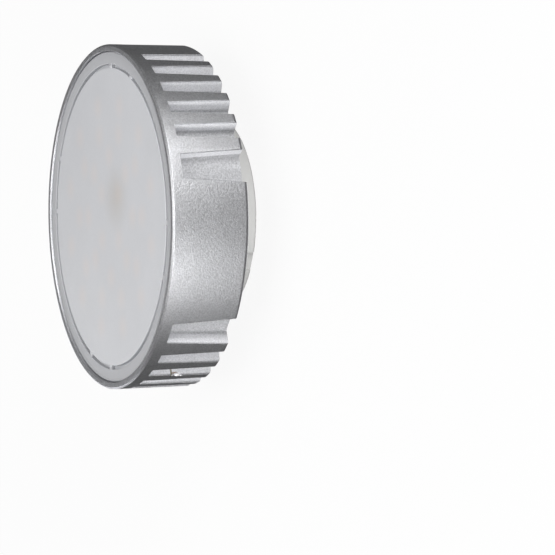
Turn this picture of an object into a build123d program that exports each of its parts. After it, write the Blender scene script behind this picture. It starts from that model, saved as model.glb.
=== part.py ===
from build123d import *
import os
from math import asin, cos, degrees, radians, sin, tan

os.makedirs("parts", exist_ok=True)

# The lamp stands on the flat end of its base boss, with its light up.
# Z runs along the lamp's axis. Y runs through the two contact pins, X through the two smooth side panels.

# Overall sizes in millimetres, angles in degrees
pin_spacing = 53.0
plate_edge = 4.5
boss_height = 7.6
fit_gap = 0.3
cut_over = 1.0
seat_root = 0.3

# Heat sink outside
side_draft = 0.95
lip_width = 1.45
lip_chamfer = 0.4
back_rise = 0.9
back_round = 0.9
front_band = 2.75
groove_depth_front = 3.4
groove_depth_back = 4.2
groove_wall_flare = 4.0
groove_edge_chamfer = 0.25
groove_floor_round = 0.5
narrow_groove_front = 2.75
narrow_groove_back = 3.95
narrow_groove_first = 42.15
narrow_groove_pitch = 9.25
narrow_groove_count = 5
wide_groove_front = 5.25
wide_groove_back = 7.45
wide_groove_angle = 29.4
# Worn spot on one fin's edge: its scoops by distance behind the front and radius
chip_groove = 1
chip_lift = 0.45
chip_scoops = [(8.2, 0.75), (9.3, 0.95), (10.4, 0.8)]

# Heat sink inside
sink_wall_back = 1.7
sink_wall_front = 2.45
base_seat_width = 1.3
web_thickness = 2.3
snap_groove_depth = 0.6
snap_groove_height = 1.4
screw_boss_radius = 2.9
screw_boss_height = 2.8
screw_boss_floor = 0.5

# Diffuser
lens_recess = 0.35
lens_thickness = 2.0
lens_gap = 0.15
ring_groove_radius = 32.8
ring_groove_width = 0.85
ring_groove_depth = 0.9
bridge_width = 1.1
bridge_half_angle = 10.5
lens_edge_chamfer = 0.25
hook_arc = 16.0
hook_thickness = 0.9
hook_barb = 0.45
hook_count = 4
bridge_reach = 0.85

# Light-emitting board. Its pattern is turned against the pins.
# Each ring has its share of the board's radius, its count and its first angle.
led_board_turn = 13.0
led_gap = 1.25
led_length = 3.5
led_width = 2.8
led_height = 1.9
led_window_radius = 1.2
led_window_depth = 0.35
led_rings = [(0.24, 4, 45.0), (0.442, 8, 0.0), (0.625, 10, 0.0), (0.834, 12, 15.0)]
board_thickness = 1.5
board_edge_gap = 2.0
pad_thickness = 0.3
pad_edge_gap = 0.6
board_screw_inset = 8.0
wire_hole_offset = 4.0
wire_hole_radius = 2.4

# Screws
screw_core_radius = 1.2
pilot_gap = 0.05
screw_clearance = 0.4
pan_head_radius = 2.4
pan_head_height = 1.5
pan_head_top_radius = 1.7
pan_head_rim = 0.9
sunk_head_radius = 2.7
sunk_head_height = 1.3
sunk_head_inset = 0.1
cross_width = 0.6
cross_length = 2.6
cross_depth = 0.7
board_screw_length = 5.6
base_screw_length = 6.2

# Base
base_plate_thickness = 2.0
base_plate_edge_round = 0.4
boss_pin_gap = 2.65
boss_wall = 1.9
boss_end_wall = 1.6
boss_draft = 0.3
boss_end_round = 0.6
boss_root_fillet = 1.4
gate_mark_radius = 1.5
gate_mark_depth = 0.25
key_channel_depth = 0.7
key_channel_start = -21.8
key_channel_mouth = 12.4
key_channel_length = 26.2
key_ledge_height = 4.4
rim_height = 2.0
rim_thickness = 1.3
tag_side_gap = 0.9
post_radius = 3.0
pilot_depth = 6.0
board_seat_height = 1.6
board_seat_width = 5.0
board_seat_depth = 2.1
catch_width = 4.0
catch_height = 1.0
catch_depth = 0.8
catch_gap = 0.05

# Contact pins
pin_length = 5.4
pin_head_radius = 2.45
pin_head_length = 1.9
pin_head_taper = 0.7
pin_tip_round = 0.7
pin_tip_height = 0.55
pin_neck_radius = 1.2
pin_flange_radius = 2.8
pin_flange_thickness = 0.5
pin_shank_radius = 1.4
pin_hole_gap = 0.05
rivet_radius = 1.95
rivet_height = 0.7
rivet_top_radius = 1.35
tag_radius = 2.3
tag_thickness = 0.4
tag_tail_width = 1.8
tag_tail_length = 5.3

# Driver
driver_board_thickness = 1.6
driver_board_gap = 0.4
driver_head_gap = 0.8
sheet_thickness = 0.4
sheet_edge_gap = 1.5
mains_wire_radius = 0.55
mains_wire_inset = 3.5
mains_wire_pin_gap = 3.1
led_wire_radius = 0.5
led_wire_half_pitch = 0.65
led_wire_hole_shift = -0.4
led_wire_rise = 1.7
led_wire_reach = 8.8
led_wire_end_spread = 1.3
led_wire_end_gap = 0.05
arc_share = 0.45
grommet_wall = 0.6
grommet_gap = 0.2
grommet_flange_radius = 2.8
grommet_flange_thickness = 0.5
grommet_tail = 0.4

# Parts on the driver board
core_clear = 2.5
core_length = 13.0
core_depth = 6.0
core_height = 9.4
core_bar = 1.8
core_leg_half = 1.4
core_window_half = 4.9
core_lift = 0.8
bobbin_gap = 0.05
bobbin_side_gap = 0.1
bobbin_wall = 0.6
bobbin_flange = 0.8
bobbin_depth = 11.0
bobbin_corner = 0.8
winding_build = 1.9
winding_corner = 1.7
can_foot_height = 1.2
can_crimp_depth = 0.3
can_top_chamfer = 0.5
capacitors = [("input_capacitor", 42.5, 3.4, 4.0, 10.4), ("output_capacitor", -42.3, 4.05, 3.15, 9.0)]
film_x = -3.0
film_inset = 6.9
film_length = 10.0
film_width = 4.0
film_height = 8.0
film_corner = 0.6
film_chamfer = 0.4
resistor_x = -2.5
resistor_inset = 6.5
diode_inset = 4.7
resistor_length = 8.5
resistor_radius = 1.3
resistor_end_radius = 1.55
resistor_end_chamfer = 0.4
resistor_end_length = 1.4
resistor_end_slope = 0.5
lead_thickness = 0.25
package_lift = 0.1
package_taper = 5.0

# Levels along the axis, from the boss end up
sink_back_z = boss_height
back_corner_z = sink_back_z + back_rise
plate_top_z = sink_back_z + base_plate_thickness
driver_bottom_z = boss_end_wall + board_seat_height
driver_top_z = driver_bottom_z + driver_board_thickness
tallest_can = max(can_height for name, angle, edge_gap, can_radius, can_height in capacitors)
tallest_part = max(core_lift + core_height, tallest_can, film_height)
sheet_bottom_z = driver_top_z + tallest_part + driver_head_gap
web_bottom_z = sheet_bottom_z + sheet_thickness
web_top_z = web_bottom_z + web_thickness
board_bottom_z = web_top_z + pad_thickness
board_top_z = board_bottom_z + board_thickness
led_top_z = board_top_z + led_height
lens_seat_z = led_top_z + led_gap
lens_top_z = lens_seat_z + lens_thickness
front_z = lens_top_z + lens_recess
sink_depth = front_z - sink_back_z
groove_front_z = front_z - front_band
pin_tip_z = sink_back_z - pin_length
tag_top_z = plate_top_z + tag_thickness

# Radii that follow from the pins and the walls round them, from the inside out
boss_radius = pin_spacing / 2 - pin_head_radius - boss_pin_gap
boss_bore_radius = boss_radius - boss_wall
plate_radius = pin_spacing / 2 + plate_edge
recess_radius = plate_radius + fit_gap
cavity_radius = recess_radius - base_seat_width
floor_back_radius = recess_radius + sink_wall_back
back_radius = floor_back_radius + groove_depth_back
front_radius = back_radius + (sink_depth - lip_chamfer) * tan(radians(side_draft))
lens_bore_radius = front_radius - lip_width


def outer_radius(z):
    """Radius of the drafted side at this height."""
    return front_radius - (front_z - lip_chamfer - z) * tan(radians(side_draft))


floor_front_radius = outer_radius(groove_front_z) - groove_depth_front
chamber_radius = floor_front_radius - sink_wall_front
board_radius = chamber_radius - board_edge_gap
board_screw_radius = board_radius - board_screw_inset
rim_outer_radius = cavity_radius - fit_gap
post_position = (boss_bore_radius + rim_outer_radius - rim_thickness) / 2
driver_radius = boss_bore_radius - driver_board_gap
pilot_radius = screw_core_radius + pilot_gap
clearance_radius = screw_core_radius + screw_clearance
snap_groove_z = board_top_z + (lens_seat_z - board_top_z) / 3


def upright_plane(angle):
    """Plane through the lamp's axis whose X direction points outwards at this angle."""
    a = radians(angle)
    return Plane(origin=(0, 0, 0), x_dir=(cos(a), sin(a), 0), z_dir=(sin(a), -cos(a), 0))


def own_axis_plane(x, y):
    """Upright plane through a vertical axis at x, y."""
    return Plane(origin=(x, y, 0), x_dir=(1, 0, 0), z_dir=(0, -1, 0))


def polar_point(radius, angle):
    """Point at this radius and angle round the lamp's axis."""
    return radius * cos(radians(angle)), radius * sin(radians(angle))


# Angles round the lamp of the grooves on one side of a panel
groove_angles = [narrow_groove_first + i * narrow_groove_pitch for i in range(narrow_groove_count)]
board_screw_angles = [led_board_turn + 90, led_board_turn - 90]
base_screw_angles = [0, 180]
wire_hole_x, wire_hole_y = polar_point(wire_hole_offset, led_board_turn + 90)


def groove_width(z, front_width, back_width):
    """Width of a groove at the drafted side, widening evenly towards the back."""
    share = (groove_front_z - z) / (groove_front_z - sink_back_z)
    return front_width + share * (back_width - front_width)


def groove_section(z, front_width, back_width):
    """Outline of a groove across the axis at this height, with chamfered upper edges."""
    share = (groove_front_z - z) / (groove_front_z - sink_back_z)
    floor = floor_front_radius + share * (floor_back_radius - floor_front_radius)
    edge = outer_radius(z) - groove_edge_chamfer
    half_edge = groove_width(z, front_width, back_width) / 2
    half_floor = half_edge - (edge - floor) * tan(radians(groove_wall_flare))
    outside = outer_radius(z) + cut_over
    half_mouth = half_edge + outside - edge
    return [
        (floor, -half_floor),
        (edge, -half_edge),
        (outside, -half_mouth),
        (outside, half_mouth),
        (edge, half_edge),
        (floor, half_floor),
    ]


def groove_cutter(front_width, back_width):
    """Solid of one groove on the +X side, open at the back."""
    below_back_z = sink_back_z - cut_over
    with BuildPart() as cutter:
        for z in (below_back_z, groove_front_z):
            with BuildSketch(Plane.XY.offset(z)):
                with BuildLine():
                    Polyline(*groove_section(z, front_width, back_width), close=True)
                make_face()
        loft(ruled=True)
        floor_edges = cutter.edges().filter_by(
            lambda e: e.center().X < floor_front_radius and abs(e.center().Y) > 0.1
        )
        fillet(floor_edges.filter_by(lambda e: e.length > front_band), radius=groove_floor_round)
    return cutter.part


# Heat sink
narrow_groove = groove_cutter(narrow_groove_front, narrow_groove_back)
wide_groove = groove_cutter(wide_groove_front, wide_groove_back)

with BuildPart() as heat_sink:
    with BuildSketch(Plane.XZ) as sink_profile:
        with BuildLine():
            Polyline(
                (0, web_bottom_z),
                (cavity_radius, web_bottom_z),
                (cavity_radius, plate_top_z),
                (recess_radius, plate_top_z),
                (recess_radius, sink_back_z),
                (outer_radius(back_corner_z), back_corner_z),
                (outer_radius(front_z - lip_chamfer), front_z - lip_chamfer),
                (front_radius - lip_chamfer, front_z),
                (lens_bore_radius, front_z),
                (lens_bore_radius, lens_seat_z),
                (chamber_radius, lens_seat_z),
                (chamber_radius, web_top_z),
                (0, web_top_z),
                close=True,
            )
        make_face()
        back_corner = (outer_radius(back_corner_z), 0, back_corner_z)
        fillet(sink_profile.vertices().sort_by_distance(back_corner)[0], radius=back_round)
    revolve(axis=Axis.Z)
    # ring groove that the diffuser's hooks snap into
    with BuildSketch(Plane.XZ):
        with BuildLine():
            Polyline(
                (chamber_radius - snap_groove_depth, snap_groove_z),
                (chamber_radius + snap_groove_depth, snap_groove_z + snap_groove_depth / 2),
                (chamber_radius + snap_groove_depth, snap_groove_z + snap_groove_height),
                (chamber_radius - snap_groove_depth, snap_groove_z + snap_groove_height),
                close=True,
            )
        make_face()
    revolve(axis=Axis.Z, mode=Mode.SUBTRACT)
    # bosses under the web for the board screws
    with BuildSketch(Plane.XY.offset(web_bottom_z - screw_boss_height)):
        for angle in board_screw_angles:
            with Locations(polar_point(board_screw_radius, angle)):
                Circle(screw_boss_radius)
    extrude(amount=screw_boss_height)
    with BuildSketch(Plane.XY.offset(web_top_z)):
        for angle in board_screw_angles:
            with Locations(polar_point(board_screw_radius, angle)):
                Circle(pilot_radius)
    extrude(amount=-(web_thickness + screw_boss_height - screw_boss_floor), mode=Mode.SUBTRACT)
    # hole for the leads, and countersunk holes for the base screws
    with BuildSketch(Plane.XY.offset(web_top_z)):
        with Locations((wire_hole_x, wire_hole_y)):
            Circle(wire_hole_radius)
        for angle in base_screw_angles:
            with Locations(polar_point(post_position, angle)):
                Circle(clearance_radius)
    extrude(amount=-web_thickness, mode=Mode.SUBTRACT)
    for angle in base_screw_angles:
        x, y = polar_point(post_position, angle)
        with BuildSketch(own_axis_plane(x, y)):
            with BuildLine():
                Polyline(
                    (0, web_top_z),
                    (sunk_head_radius + screw_clearance / 2, web_top_z),
                    (0, web_top_z - sunk_head_radius - screw_clearance / 2),
                    close=True,
                )
            make_face()
        revolve(axis=Axis((x, y, 0), (0, 0, 1)), mode=Mode.SUBTRACT)
    # grooves between the fins, the same on both sides of both panels
    for panel in (0, 180):
        for side in (-1, 1):
            for angle in groove_angles:
                add(narrow_groove, rotation=(0, 0, panel + side * angle), mode=Mode.SUBTRACT)
            add(wide_groove, rotation=(0, 0, panel + side * wide_groove_angle), mode=Mode.SUBTRACT)
    # the worn spot, on the edge between a fin and its groove
    for depth, scoop_radius in chip_scoops:
        z = front_z - depth
        half_width = groove_width(z, narrow_groove_front, narrow_groove_back) / 2
        edge_turn = degrees(asin(half_width / outer_radius(z)))
        x, y = polar_point(outer_radius(z) + chip_lift, -groove_angles[chip_groove] - edge_turn)
        with Locations((x, y, z)):
            Sphere(scoop_radius, mode=Mode.SUBTRACT)
heat_sink.part.label = "heat_sink"
export_step(heat_sink.part, "parts/heat_sink.step")

# Diffuser: one moulding with a ring groove bridged in four pairs, and four hooks below
lens_radius = lens_bore_radius - lens_gap
hook_outer_radius = chamber_radius - fit_gap
hook_inner_radius = hook_outer_radius - hook_thickness
barb_low_z = snap_groove_z + snap_groove_depth / 2 + fit_gap
with BuildPart() as diffuser:
    with BuildSketch(Plane.XY.offset(lens_seat_z)):
        Circle(lens_radius)
    extrude(amount=lens_thickness)
    chamfer(diffuser.faces().sort_by(Axis.Z)[-1].edges(), length=lens_edge_chamfer)
    with BuildSketch(Plane.XY.offset(lens_top_z)):
        Circle(ring_groove_radius + ring_groove_width / 2)
        Circle(ring_groove_radius - ring_groove_width / 2, mode=Mode.SUBTRACT)
        for start in (-bridge_half_angle, bridge_half_angle):
            with PolarLocations(ring_groove_radius, hook_count, start_angle=start):
                Rectangle(ring_groove_width + bridge_reach, bridge_width, mode=Mode.SUBTRACT)
    extrude(amount=-ring_groove_depth, mode=Mode.SUBTRACT)
    for i in range(hook_count):
        with BuildSketch(upright_plane(360 / hook_count * i - hook_arc / 2)):
            with BuildLine():
                Polyline(
                    (hook_inner_radius, lens_seat_z),
                    (hook_inner_radius, barb_low_z - hook_thickness),
                    (hook_outer_radius, barb_low_z - hook_thickness),
                    (hook_outer_radius + hook_barb, barb_low_z),
                    (hook_outer_radius + hook_barb, barb_low_z + hook_barb),
                    (hook_outer_radius, barb_low_z + 2 * hook_barb),
                    (hook_outer_radius, lens_seat_z),
                    close=True,
                )
            make_face()
        revolve(axis=Axis.Z, revolution_arc=hook_arc)
diffuser.part.label = "diffuser"
export_step(diffuser.part, "parts/diffuser.step")

# Thermal pad and light-emitting board
pad_radius = board_radius - pad_edge_gap
pad_hole_radius = clearance_radius + screw_clearance
for name, radius, bottom_z, thickness, hole_radius in (
    ("thermal_pad", pad_radius, web_top_z, pad_thickness, pad_hole_radius),
    ("led_board", board_radius, board_bottom_z, board_thickness, clearance_radius),
):
    with BuildPart() as layer:
        with BuildSketch(Plane.XY.offset(bottom_z)):
            Circle(radius)
            with Locations((wire_hole_x, wire_hole_y)):
                Circle(wire_hole_radius, mode=Mode.SUBTRACT)
            for angle in board_screw_angles:
                with Locations(polar_point(board_screw_radius, angle)):
                    Circle(hole_radius, mode=Mode.SUBTRACT)
        extrude(amount=thickness)
    layer.part.label = name
    export_step(layer.part, f"parts/{name}.step")

# Rings of light-emitting packages, each with a round window for its phosphor
for number, (share, count, start) in enumerate(led_rings, start=1):
    ring_radius = share * board_radius
    with BuildPart() as led_ring:
        with BuildSketch(Plane.XY.offset(board_top_z)):
            with PolarLocations(ring_radius, count, start_angle=start + led_board_turn):
                Rectangle(led_width, led_length)
        extrude(amount=led_height)
        with BuildSketch(Plane.XY.offset(led_top_z)):
            with PolarLocations(ring_radius, count, start_angle=start + led_board_turn):
                Circle(led_window_radius)
        extrude(amount=-led_window_depth, mode=Mode.SUBTRACT)
    led_ring.part.label = f"led_ring_{number}"
    export_step(led_ring.part, f"parts/led_ring_{number}.step")


def cross_cutter(places, top_z):
    """Crosses for the screwdriver, to be cut into screw heads at these places."""
    with BuildPart() as cutter:
        with BuildSketch(Plane.XY.offset(top_z)):
            with Locations(*places):
                Rectangle(cross_width, cross_length)
                Rectangle(cross_length, cross_width)
        extrude(amount=-cross_depth)
    return cutter.part


# Screws that hold the board to the web
board_screw_places = [polar_point(board_screw_radius, angle) for angle in board_screw_angles]
board_screw_crosses = cross_cutter(board_screw_places, board_top_z + pan_head_height)
with BuildPart() as board_screws:
    for x, y in board_screw_places:
        with BuildSketch(own_axis_plane(x, y)):
            with BuildLine():
                Polyline(
                    (0, board_top_z - board_screw_length),
                    (screw_core_radius, board_top_z - board_screw_length),
                    (screw_core_radius, board_top_z),
                    (pan_head_radius, board_top_z),
                    (pan_head_radius, board_top_z + pan_head_rim),
                    (pan_head_top_radius, board_top_z + pan_head_height),
                    (0, board_top_z + pan_head_height),
                    close=True,
                )
            make_face()
        revolve(axis=Axis((x, y, 0), (0, 0, 1)))
    add(board_screw_crosses, mode=Mode.SUBTRACT)
board_screws.part.label = "board_screws"
export_step(board_screws.part, "parts/board_screws.step")

# Countersunk screws that hold the base, hidden under the board
base_screw_places = [polar_point(post_position, angle) for angle in base_screw_angles]
sunk_top_z = web_top_z - sunk_head_inset
base_screw_crosses = cross_cutter(base_screw_places, sunk_top_z)
with BuildPart() as base_screws:
    for x, y in base_screw_places:
        with BuildSketch(own_axis_plane(x, y)):
            with BuildLine():
                Polyline(
                    (0, web_top_z - base_screw_length),
                    (screw_core_radius, web_top_z - base_screw_length),
                    (screw_core_radius, sunk_top_z - sunk_head_height),
                    (sunk_head_radius, sunk_top_z),
                    (0, sunk_top_z),
                    close=True,
                )
            make_face()
        revolve(axis=Axis((x, y, 0), (0, 0, 1)))
    add(base_screw_crosses, mode=Mode.SUBTRACT)
base_screws.part.label = "base_screws"
export_step(base_screws.part, "parts/base_screws.step")

# Base housing: shoulder plate and hollow boss in one moulding
boss_root_radius = boss_radius + boss_height * tan(radians(boss_draft))
with BuildPart() as base_housing:
    with BuildSketch(Plane.XZ) as base_profile:
        with BuildLine():
            Polyline(
                (0, 0),
                (boss_radius, 0),
                (boss_root_radius, sink_back_z),
                (plate_radius, sink_back_z),
                (plate_radius, plate_top_z),
                (boss_bore_radius, plate_top_z),
                (boss_bore_radius, boss_end_wall),
                (0, boss_end_wall),
                close=True,
            )
        make_face()
        corners = base_profile.vertices()
        fillet(corners.sort_by_distance((boss_radius, 0, 0))[0], radius=boss_end_round)
        fillet(corners.sort_by_distance((boss_root_radius, 0, sink_back_z))[0], radius=boss_root_fillet)
        fillet(corners.sort_by_distance((plate_radius, 0, sink_back_z))[0], radius=base_plate_edge_round)
    revolve(axis=Axis.Z)
    with BuildSketch(Plane.XY):
        Circle(gate_mark_radius)
    extrude(amount=gate_mark_depth, mode=Mode.SUBTRACT)
    # key channels: a mouth at the boss end that turns under a ledge near the shoulder
    for turn in (0, 180):
        for start, arc, low_z in (
            (key_channel_start, key_channel_mouth, -cut_over),
            (key_channel_start, key_channel_length, key_ledge_height),
        ):
            high_z = sink_back_z - boss_root_fillet
            with BuildSketch(upright_plane(turn + start)):
                with BuildLine():
                    Polyline(
                        (boss_radius - key_channel_depth, low_z),
                        (boss_radius + cut_over, low_z),
                        (boss_radius + cut_over, high_z),
                        (boss_radius - key_channel_depth, high_z),
                        close=True,
                    )
                make_face()
            revolve(axis=Axis.Z, revolution_arc=arc, mode=Mode.SUBTRACT)
    # rim that centres the base in the heat sink, open beside the pins
    with BuildSketch(Plane.XY.offset(plate_top_z)):
        Circle(rim_outer_radius)
        Circle(rim_outer_radius - rim_thickness, mode=Mode.SUBTRACT)
        Rectangle(2 * (tag_radius + tag_side_gap), 2 * rim_outer_radius + cut_over, mode=Mode.SUBTRACT)
    extrude(amount=rim_height)
    # posts for the base screws
    with BuildSketch(Plane.XY.offset(plate_top_z)):
        with Locations(*base_screw_places):
            Circle(post_radius)
    extrude(amount=web_bottom_z - plate_top_z)
    with BuildSketch(Plane.XY.offset(web_bottom_z)):
        with Locations(*base_screw_places):
            Circle(pilot_radius)
    extrude(amount=-pilot_depth, mode=Mode.SUBTRACT)
    # holes for the pins
    with BuildSketch(Plane.XY.offset(sink_back_z)):
        with Locations((0, pin_spacing / 2), (0, -pin_spacing / 2)):
            Circle(pin_shank_radius + pin_hole_gap)
    extrude(amount=base_plate_thickness, mode=Mode.SUBTRACT)
    # ledges below the driver board, and two catches above it
    with BuildSketch(Plane.XY.offset(boss_end_wall)):
        with PolarLocations(boss_bore_radius + (seat_root - board_seat_depth) / 2, 4, start_angle=45):
            Rectangle(board_seat_depth + seat_root, board_seat_width)
    extrude(amount=board_seat_height)
    with BuildSketch(Plane.XY.offset(driver_top_z + catch_gap)):
        with PolarLocations(boss_bore_radius + (seat_root - catch_depth) / 2, 2):
            Rectangle(catch_depth + seat_root, catch_width)
    extrude(amount=catch_height)
base_housing.part.label = "base_housing"
export_step(base_housing.part, "parts/base_housing.step")

# Contact pins, their solder tags and the leads to the driver board
for letter, side in (("a", 1), ("b", -1)):
    pin_y = side * pin_spacing / 2
    with BuildPart() as contact_pin:
        with BuildSketch(own_axis_plane(0, pin_y)):
            with BuildLine():
                Polyline(
                    (0, pin_tip_z),
                    (pin_head_radius - pin_tip_round, pin_tip_z),
                    (pin_head_radius, pin_tip_z + pin_tip_height),
                    (pin_head_radius, pin_tip_z + pin_head_length),
                    (pin_neck_radius, pin_tip_z + pin_head_length + pin_head_taper),
                    (pin_neck_radius, sink_back_z - pin_flange_thickness),
                    (pin_flange_radius, sink_back_z - pin_flange_thickness),
                    (pin_flange_radius, sink_back_z),
                    (pin_shank_radius, sink_back_z),
                    (pin_shank_radius, tag_top_z),
                    (rivet_radius, tag_top_z),
                    (rivet_top_radius, tag_top_z + rivet_height),
                    (0, tag_top_z + rivet_height),
                    close=True,
                )
            make_face()
        revolve(axis=Axis((0, pin_y, 0), (0, 0, 1)))
    contact_pin.part.label = f"contact_pin_{letter}"
    export_step(contact_pin.part, f"parts/contact_pin_{letter}.step")

    with BuildPart() as pin_tag:
        with BuildSketch(Plane.XY.offset(plate_top_z)):
            with Locations((0, pin_y)):
                Circle(tag_radius)
            with Locations((0, pin_y - side * tag_tail_length / 2)):
                Rectangle(tag_tail_width, tag_tail_length)
            with Locations((0, pin_y)):
                Circle(pin_shank_radius + pin_hole_gap, mode=Mode.SUBTRACT)
        extrude(amount=tag_thickness)
    pin_tag.part.label = f"pin_tag_{letter}"
    export_step(pin_tag.part, f"parts/pin_tag_{letter}.step")


def lead(name, points, wire_radius):
    """Insulated lead along straight runs joined by tangent arcs, written to its own file."""
    vectors = [Vector(*p) for p in points]
    radii = []
    for a, b, c in zip(vectors, vectors[1:], vectors[2:]):
        turn = (b - a).get_angle(c - b)
        shorter = min((b - a).length, (c - b).length)
        radii.append(arc_share * shorter / tan(radians(turn / 2)))
    with BuildPart() as wire:
        with BuildLine() as route:
            FilletPolyline(*points, radius=radii)
        with BuildSketch(Plane(origin=route.line @ 0, z_dir=route.line % 0)):
            Circle(wire_radius)
        sweep()
    print(name, "bend radii", [round(r, 2) for r in radii], "length", round(route.wire().length, 2))
    wire.part.label = name
    export_step(wire.part, f"parts/{name}.step")


lead_z = tag_top_z + mains_wire_radius
mains_wire_start = pin_spacing / 2 - mains_wire_pin_gap
mains_wire_drop = boss_bore_radius - mains_wire_inset
for letter, side in (("a", 1), ("b", -1)):
    lead(
        f"mains_wire_{letter}",
        [
            (0, side * mains_wire_start, lead_z),
            (0, side * mains_wire_drop, lead_z),
            (0, side * mains_wire_drop, driver_top_z),
        ],
        mains_wire_radius,
    )


def turned(x, y):
    """Place on the light-emitting board, in the lamp's own frame."""
    a = radians(led_board_turn)
    return x * cos(a) - y * sin(a), x * sin(a) + y * cos(a)


for name, side in (("led_wire_positive", 1), ("led_wire_negative", -1)):
    foot = turned(side * led_wire_half_pitch, wire_hole_offset + led_wire_hole_shift)
    end = turned(side * led_wire_end_spread, led_wire_reach)
    lead(
        name,
        [
            (*foot, driver_top_z),
            (*foot, board_top_z + led_wire_rise),
            (*end, board_top_z + led_wire_radius + led_wire_end_gap),
        ],
        led_wire_radius,
    )

# Grommet that lines the lead hole
grommet_radius = wire_hole_radius - grommet_gap
grommet_length = board_top_z - sheet_bottom_z + grommet_tail
with BuildPart() as wire_grommet:
    with BuildSketch(Plane.XY.offset(sheet_bottom_z - grommet_tail)):
        with Locations((wire_hole_x, wire_hole_y)):
            Circle(grommet_radius)
    extrude(amount=grommet_length)
    with BuildSketch(Plane.XY.offset(board_top_z)):
        with Locations((wire_hole_x, wire_hole_y)):
            Circle(grommet_flange_radius)
    extrude(amount=grommet_flange_thickness)
    with BuildSketch(Plane.XY.offset(board_top_z + grommet_flange_thickness)):
        with Locations((wire_hole_x, wire_hole_y)):
            Circle(grommet_radius - grommet_wall)
    extrude(amount=-(grommet_flange_thickness + grommet_length), mode=Mode.SUBTRACT)
wire_grommet.part.label = "wire_grommet"
export_step(wire_grommet.part, "parts/wire_grommet.step")

# Insulating sheet under the web
with BuildPart() as insulating_sheet:
    with BuildSketch(Plane.XY.offset(sheet_bottom_z)):
        Circle(boss_bore_radius - sheet_edge_gap)
        with Locations((wire_hole_x, wire_hole_y)):
            Circle(wire_hole_radius, mode=Mode.SUBTRACT)
    extrude(amount=sheet_thickness)
insulating_sheet.part.label = "insulating_sheet"
export_step(insulating_sheet.part, "parts/insulating_sheet.step")

# Driver board in the boss
with BuildPart() as driver_board:
    with BuildSketch(Plane.XY.offset(driver_bottom_z)):
        Circle(driver_radius)
    extrude(amount=driver_board_thickness)
driver_board.part.label = "driver_board"
export_step(driver_board.part, "parts/driver_board.step")

# Transformer: ferrite core round a bobbin that stands on two feet
transformer_x = -core_clear - core_length / 2
core_bottom_z = driver_top_z + core_lift
core_middle_z = core_bottom_z + core_height / 2
bobbin_height = core_height - 2 * core_bar - 2 * bobbin_gap
bobbin_bottom_z = core_middle_z - bobbin_height / 2
bobbin_width = 2 * (core_window_half - bobbin_side_gap)
leg_hole_x = 2 * (core_leg_half + bobbin_gap)
leg_hole_y = core_depth + 2 * bobbin_gap
tube_x = leg_hole_x + 2 * bobbin_wall
tube_y = leg_hole_y + 2 * bobbin_wall

with BuildPart() as transformer_core:
    with BuildSketch(Plane.XZ.offset(-core_depth / 2)):
        with Locations((transformer_x, core_middle_z)):
            Rectangle(core_length, core_height)
        window_width = core_window_half - core_leg_half
        window_x = (core_window_half + core_leg_half) / 2
        with Locations((transformer_x - window_x, core_middle_z), (transformer_x + window_x, core_middle_z)):
            Rectangle(window_width, core_height - 2 * core_bar, mode=Mode.SUBTRACT)
    extrude(amount=core_depth)
transformer_core.part.label = "transformer_core"
export_step(transformer_core.part, "parts/transformer_core.step")

with BuildPart() as transformer_bobbin:
    with BuildSketch(Plane.XY.offset(bobbin_bottom_z)):
        with Locations((transformer_x, 0)):
            Rectangle(tube_x, tube_y)
    extrude(amount=bobbin_height)
    for flange_z in (bobbin_bottom_z, bobbin_bottom_z + bobbin_height - bobbin_flange):
        with BuildSketch(Plane.XY.offset(flange_z)):
            with Locations((transformer_x, 0)):
                RectangleRounded(bobbin_width, bobbin_depth, bobbin_corner)
        extrude(amount=bobbin_flange)
    with BuildSketch(Plane.XY.offset(driver_top_z)):
        foot_depth = (bobbin_depth - core_depth) / 2 - fit_gap
        foot_y = (bobbin_depth - foot_depth) / 2
        with Locations((transformer_x, foot_y), (transformer_x, -foot_y)):
            Rectangle(bobbin_width, foot_depth)
    extrude(amount=bobbin_bottom_z - driver_top_z)
    with BuildSketch(Plane.XY.offset(bobbin_bottom_z)):
        with Locations((transformer_x, 0)):
            Rectangle(leg_hole_x, leg_hole_y)
    extrude(amount=bobbin_height, mode=Mode.SUBTRACT)
transformer_bobbin.part.label = "transformer_bobbin"
export_step(transformer_bobbin.part, "parts/transformer_bobbin.step")

with BuildPart() as transformer_winding:
    with BuildSketch(Plane.XY.offset(bobbin_bottom_z + bobbin_flange)):
        with Locations((transformer_x, 0)):
            RectangleRounded(tube_x + 2 * winding_build, tube_y + 2 * winding_build, winding_corner)
            Rectangle(tube_x, tube_y, mode=Mode.SUBTRACT)
    extrude(amount=bobbin_height - 2 * bobbin_flange)
transformer_winding.part.label = "transformer_winding"
export_step(transformer_winding.part, "parts/transformer_winding.step")

# Electrolytic capacitors, standing, with the crimp near the foot
for name, angle, edge_gap, can_radius, can_height in capacitors:
    x, y = polar_point(driver_radius - can_radius - edge_gap, angle)
    can_top_z = driver_top_z + can_height
    crimp_z = driver_top_z + can_foot_height
    with BuildPart() as capacitor:
        with BuildSketch(own_axis_plane(x, y)) as can_profile:
            with BuildLine():
                Polyline(
                    (0, driver_top_z),
                    (can_radius, driver_top_z),
                    (can_radius, crimp_z),
                    (can_radius - can_crimp_depth, crimp_z + can_crimp_depth),
                    (can_radius, crimp_z + 2 * can_crimp_depth),
                    (can_radius, can_top_z - can_top_chamfer),
                    (can_radius - can_top_chamfer, can_top_z),
                    (0, can_top_z),
                    close=True,
                )
            make_face()
        revolve(axis=Axis((x, y, 0), (0, 0, 1)))
    capacitor.part.label = name
    export_step(capacitor.part, f"parts/{name}.step")

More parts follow.
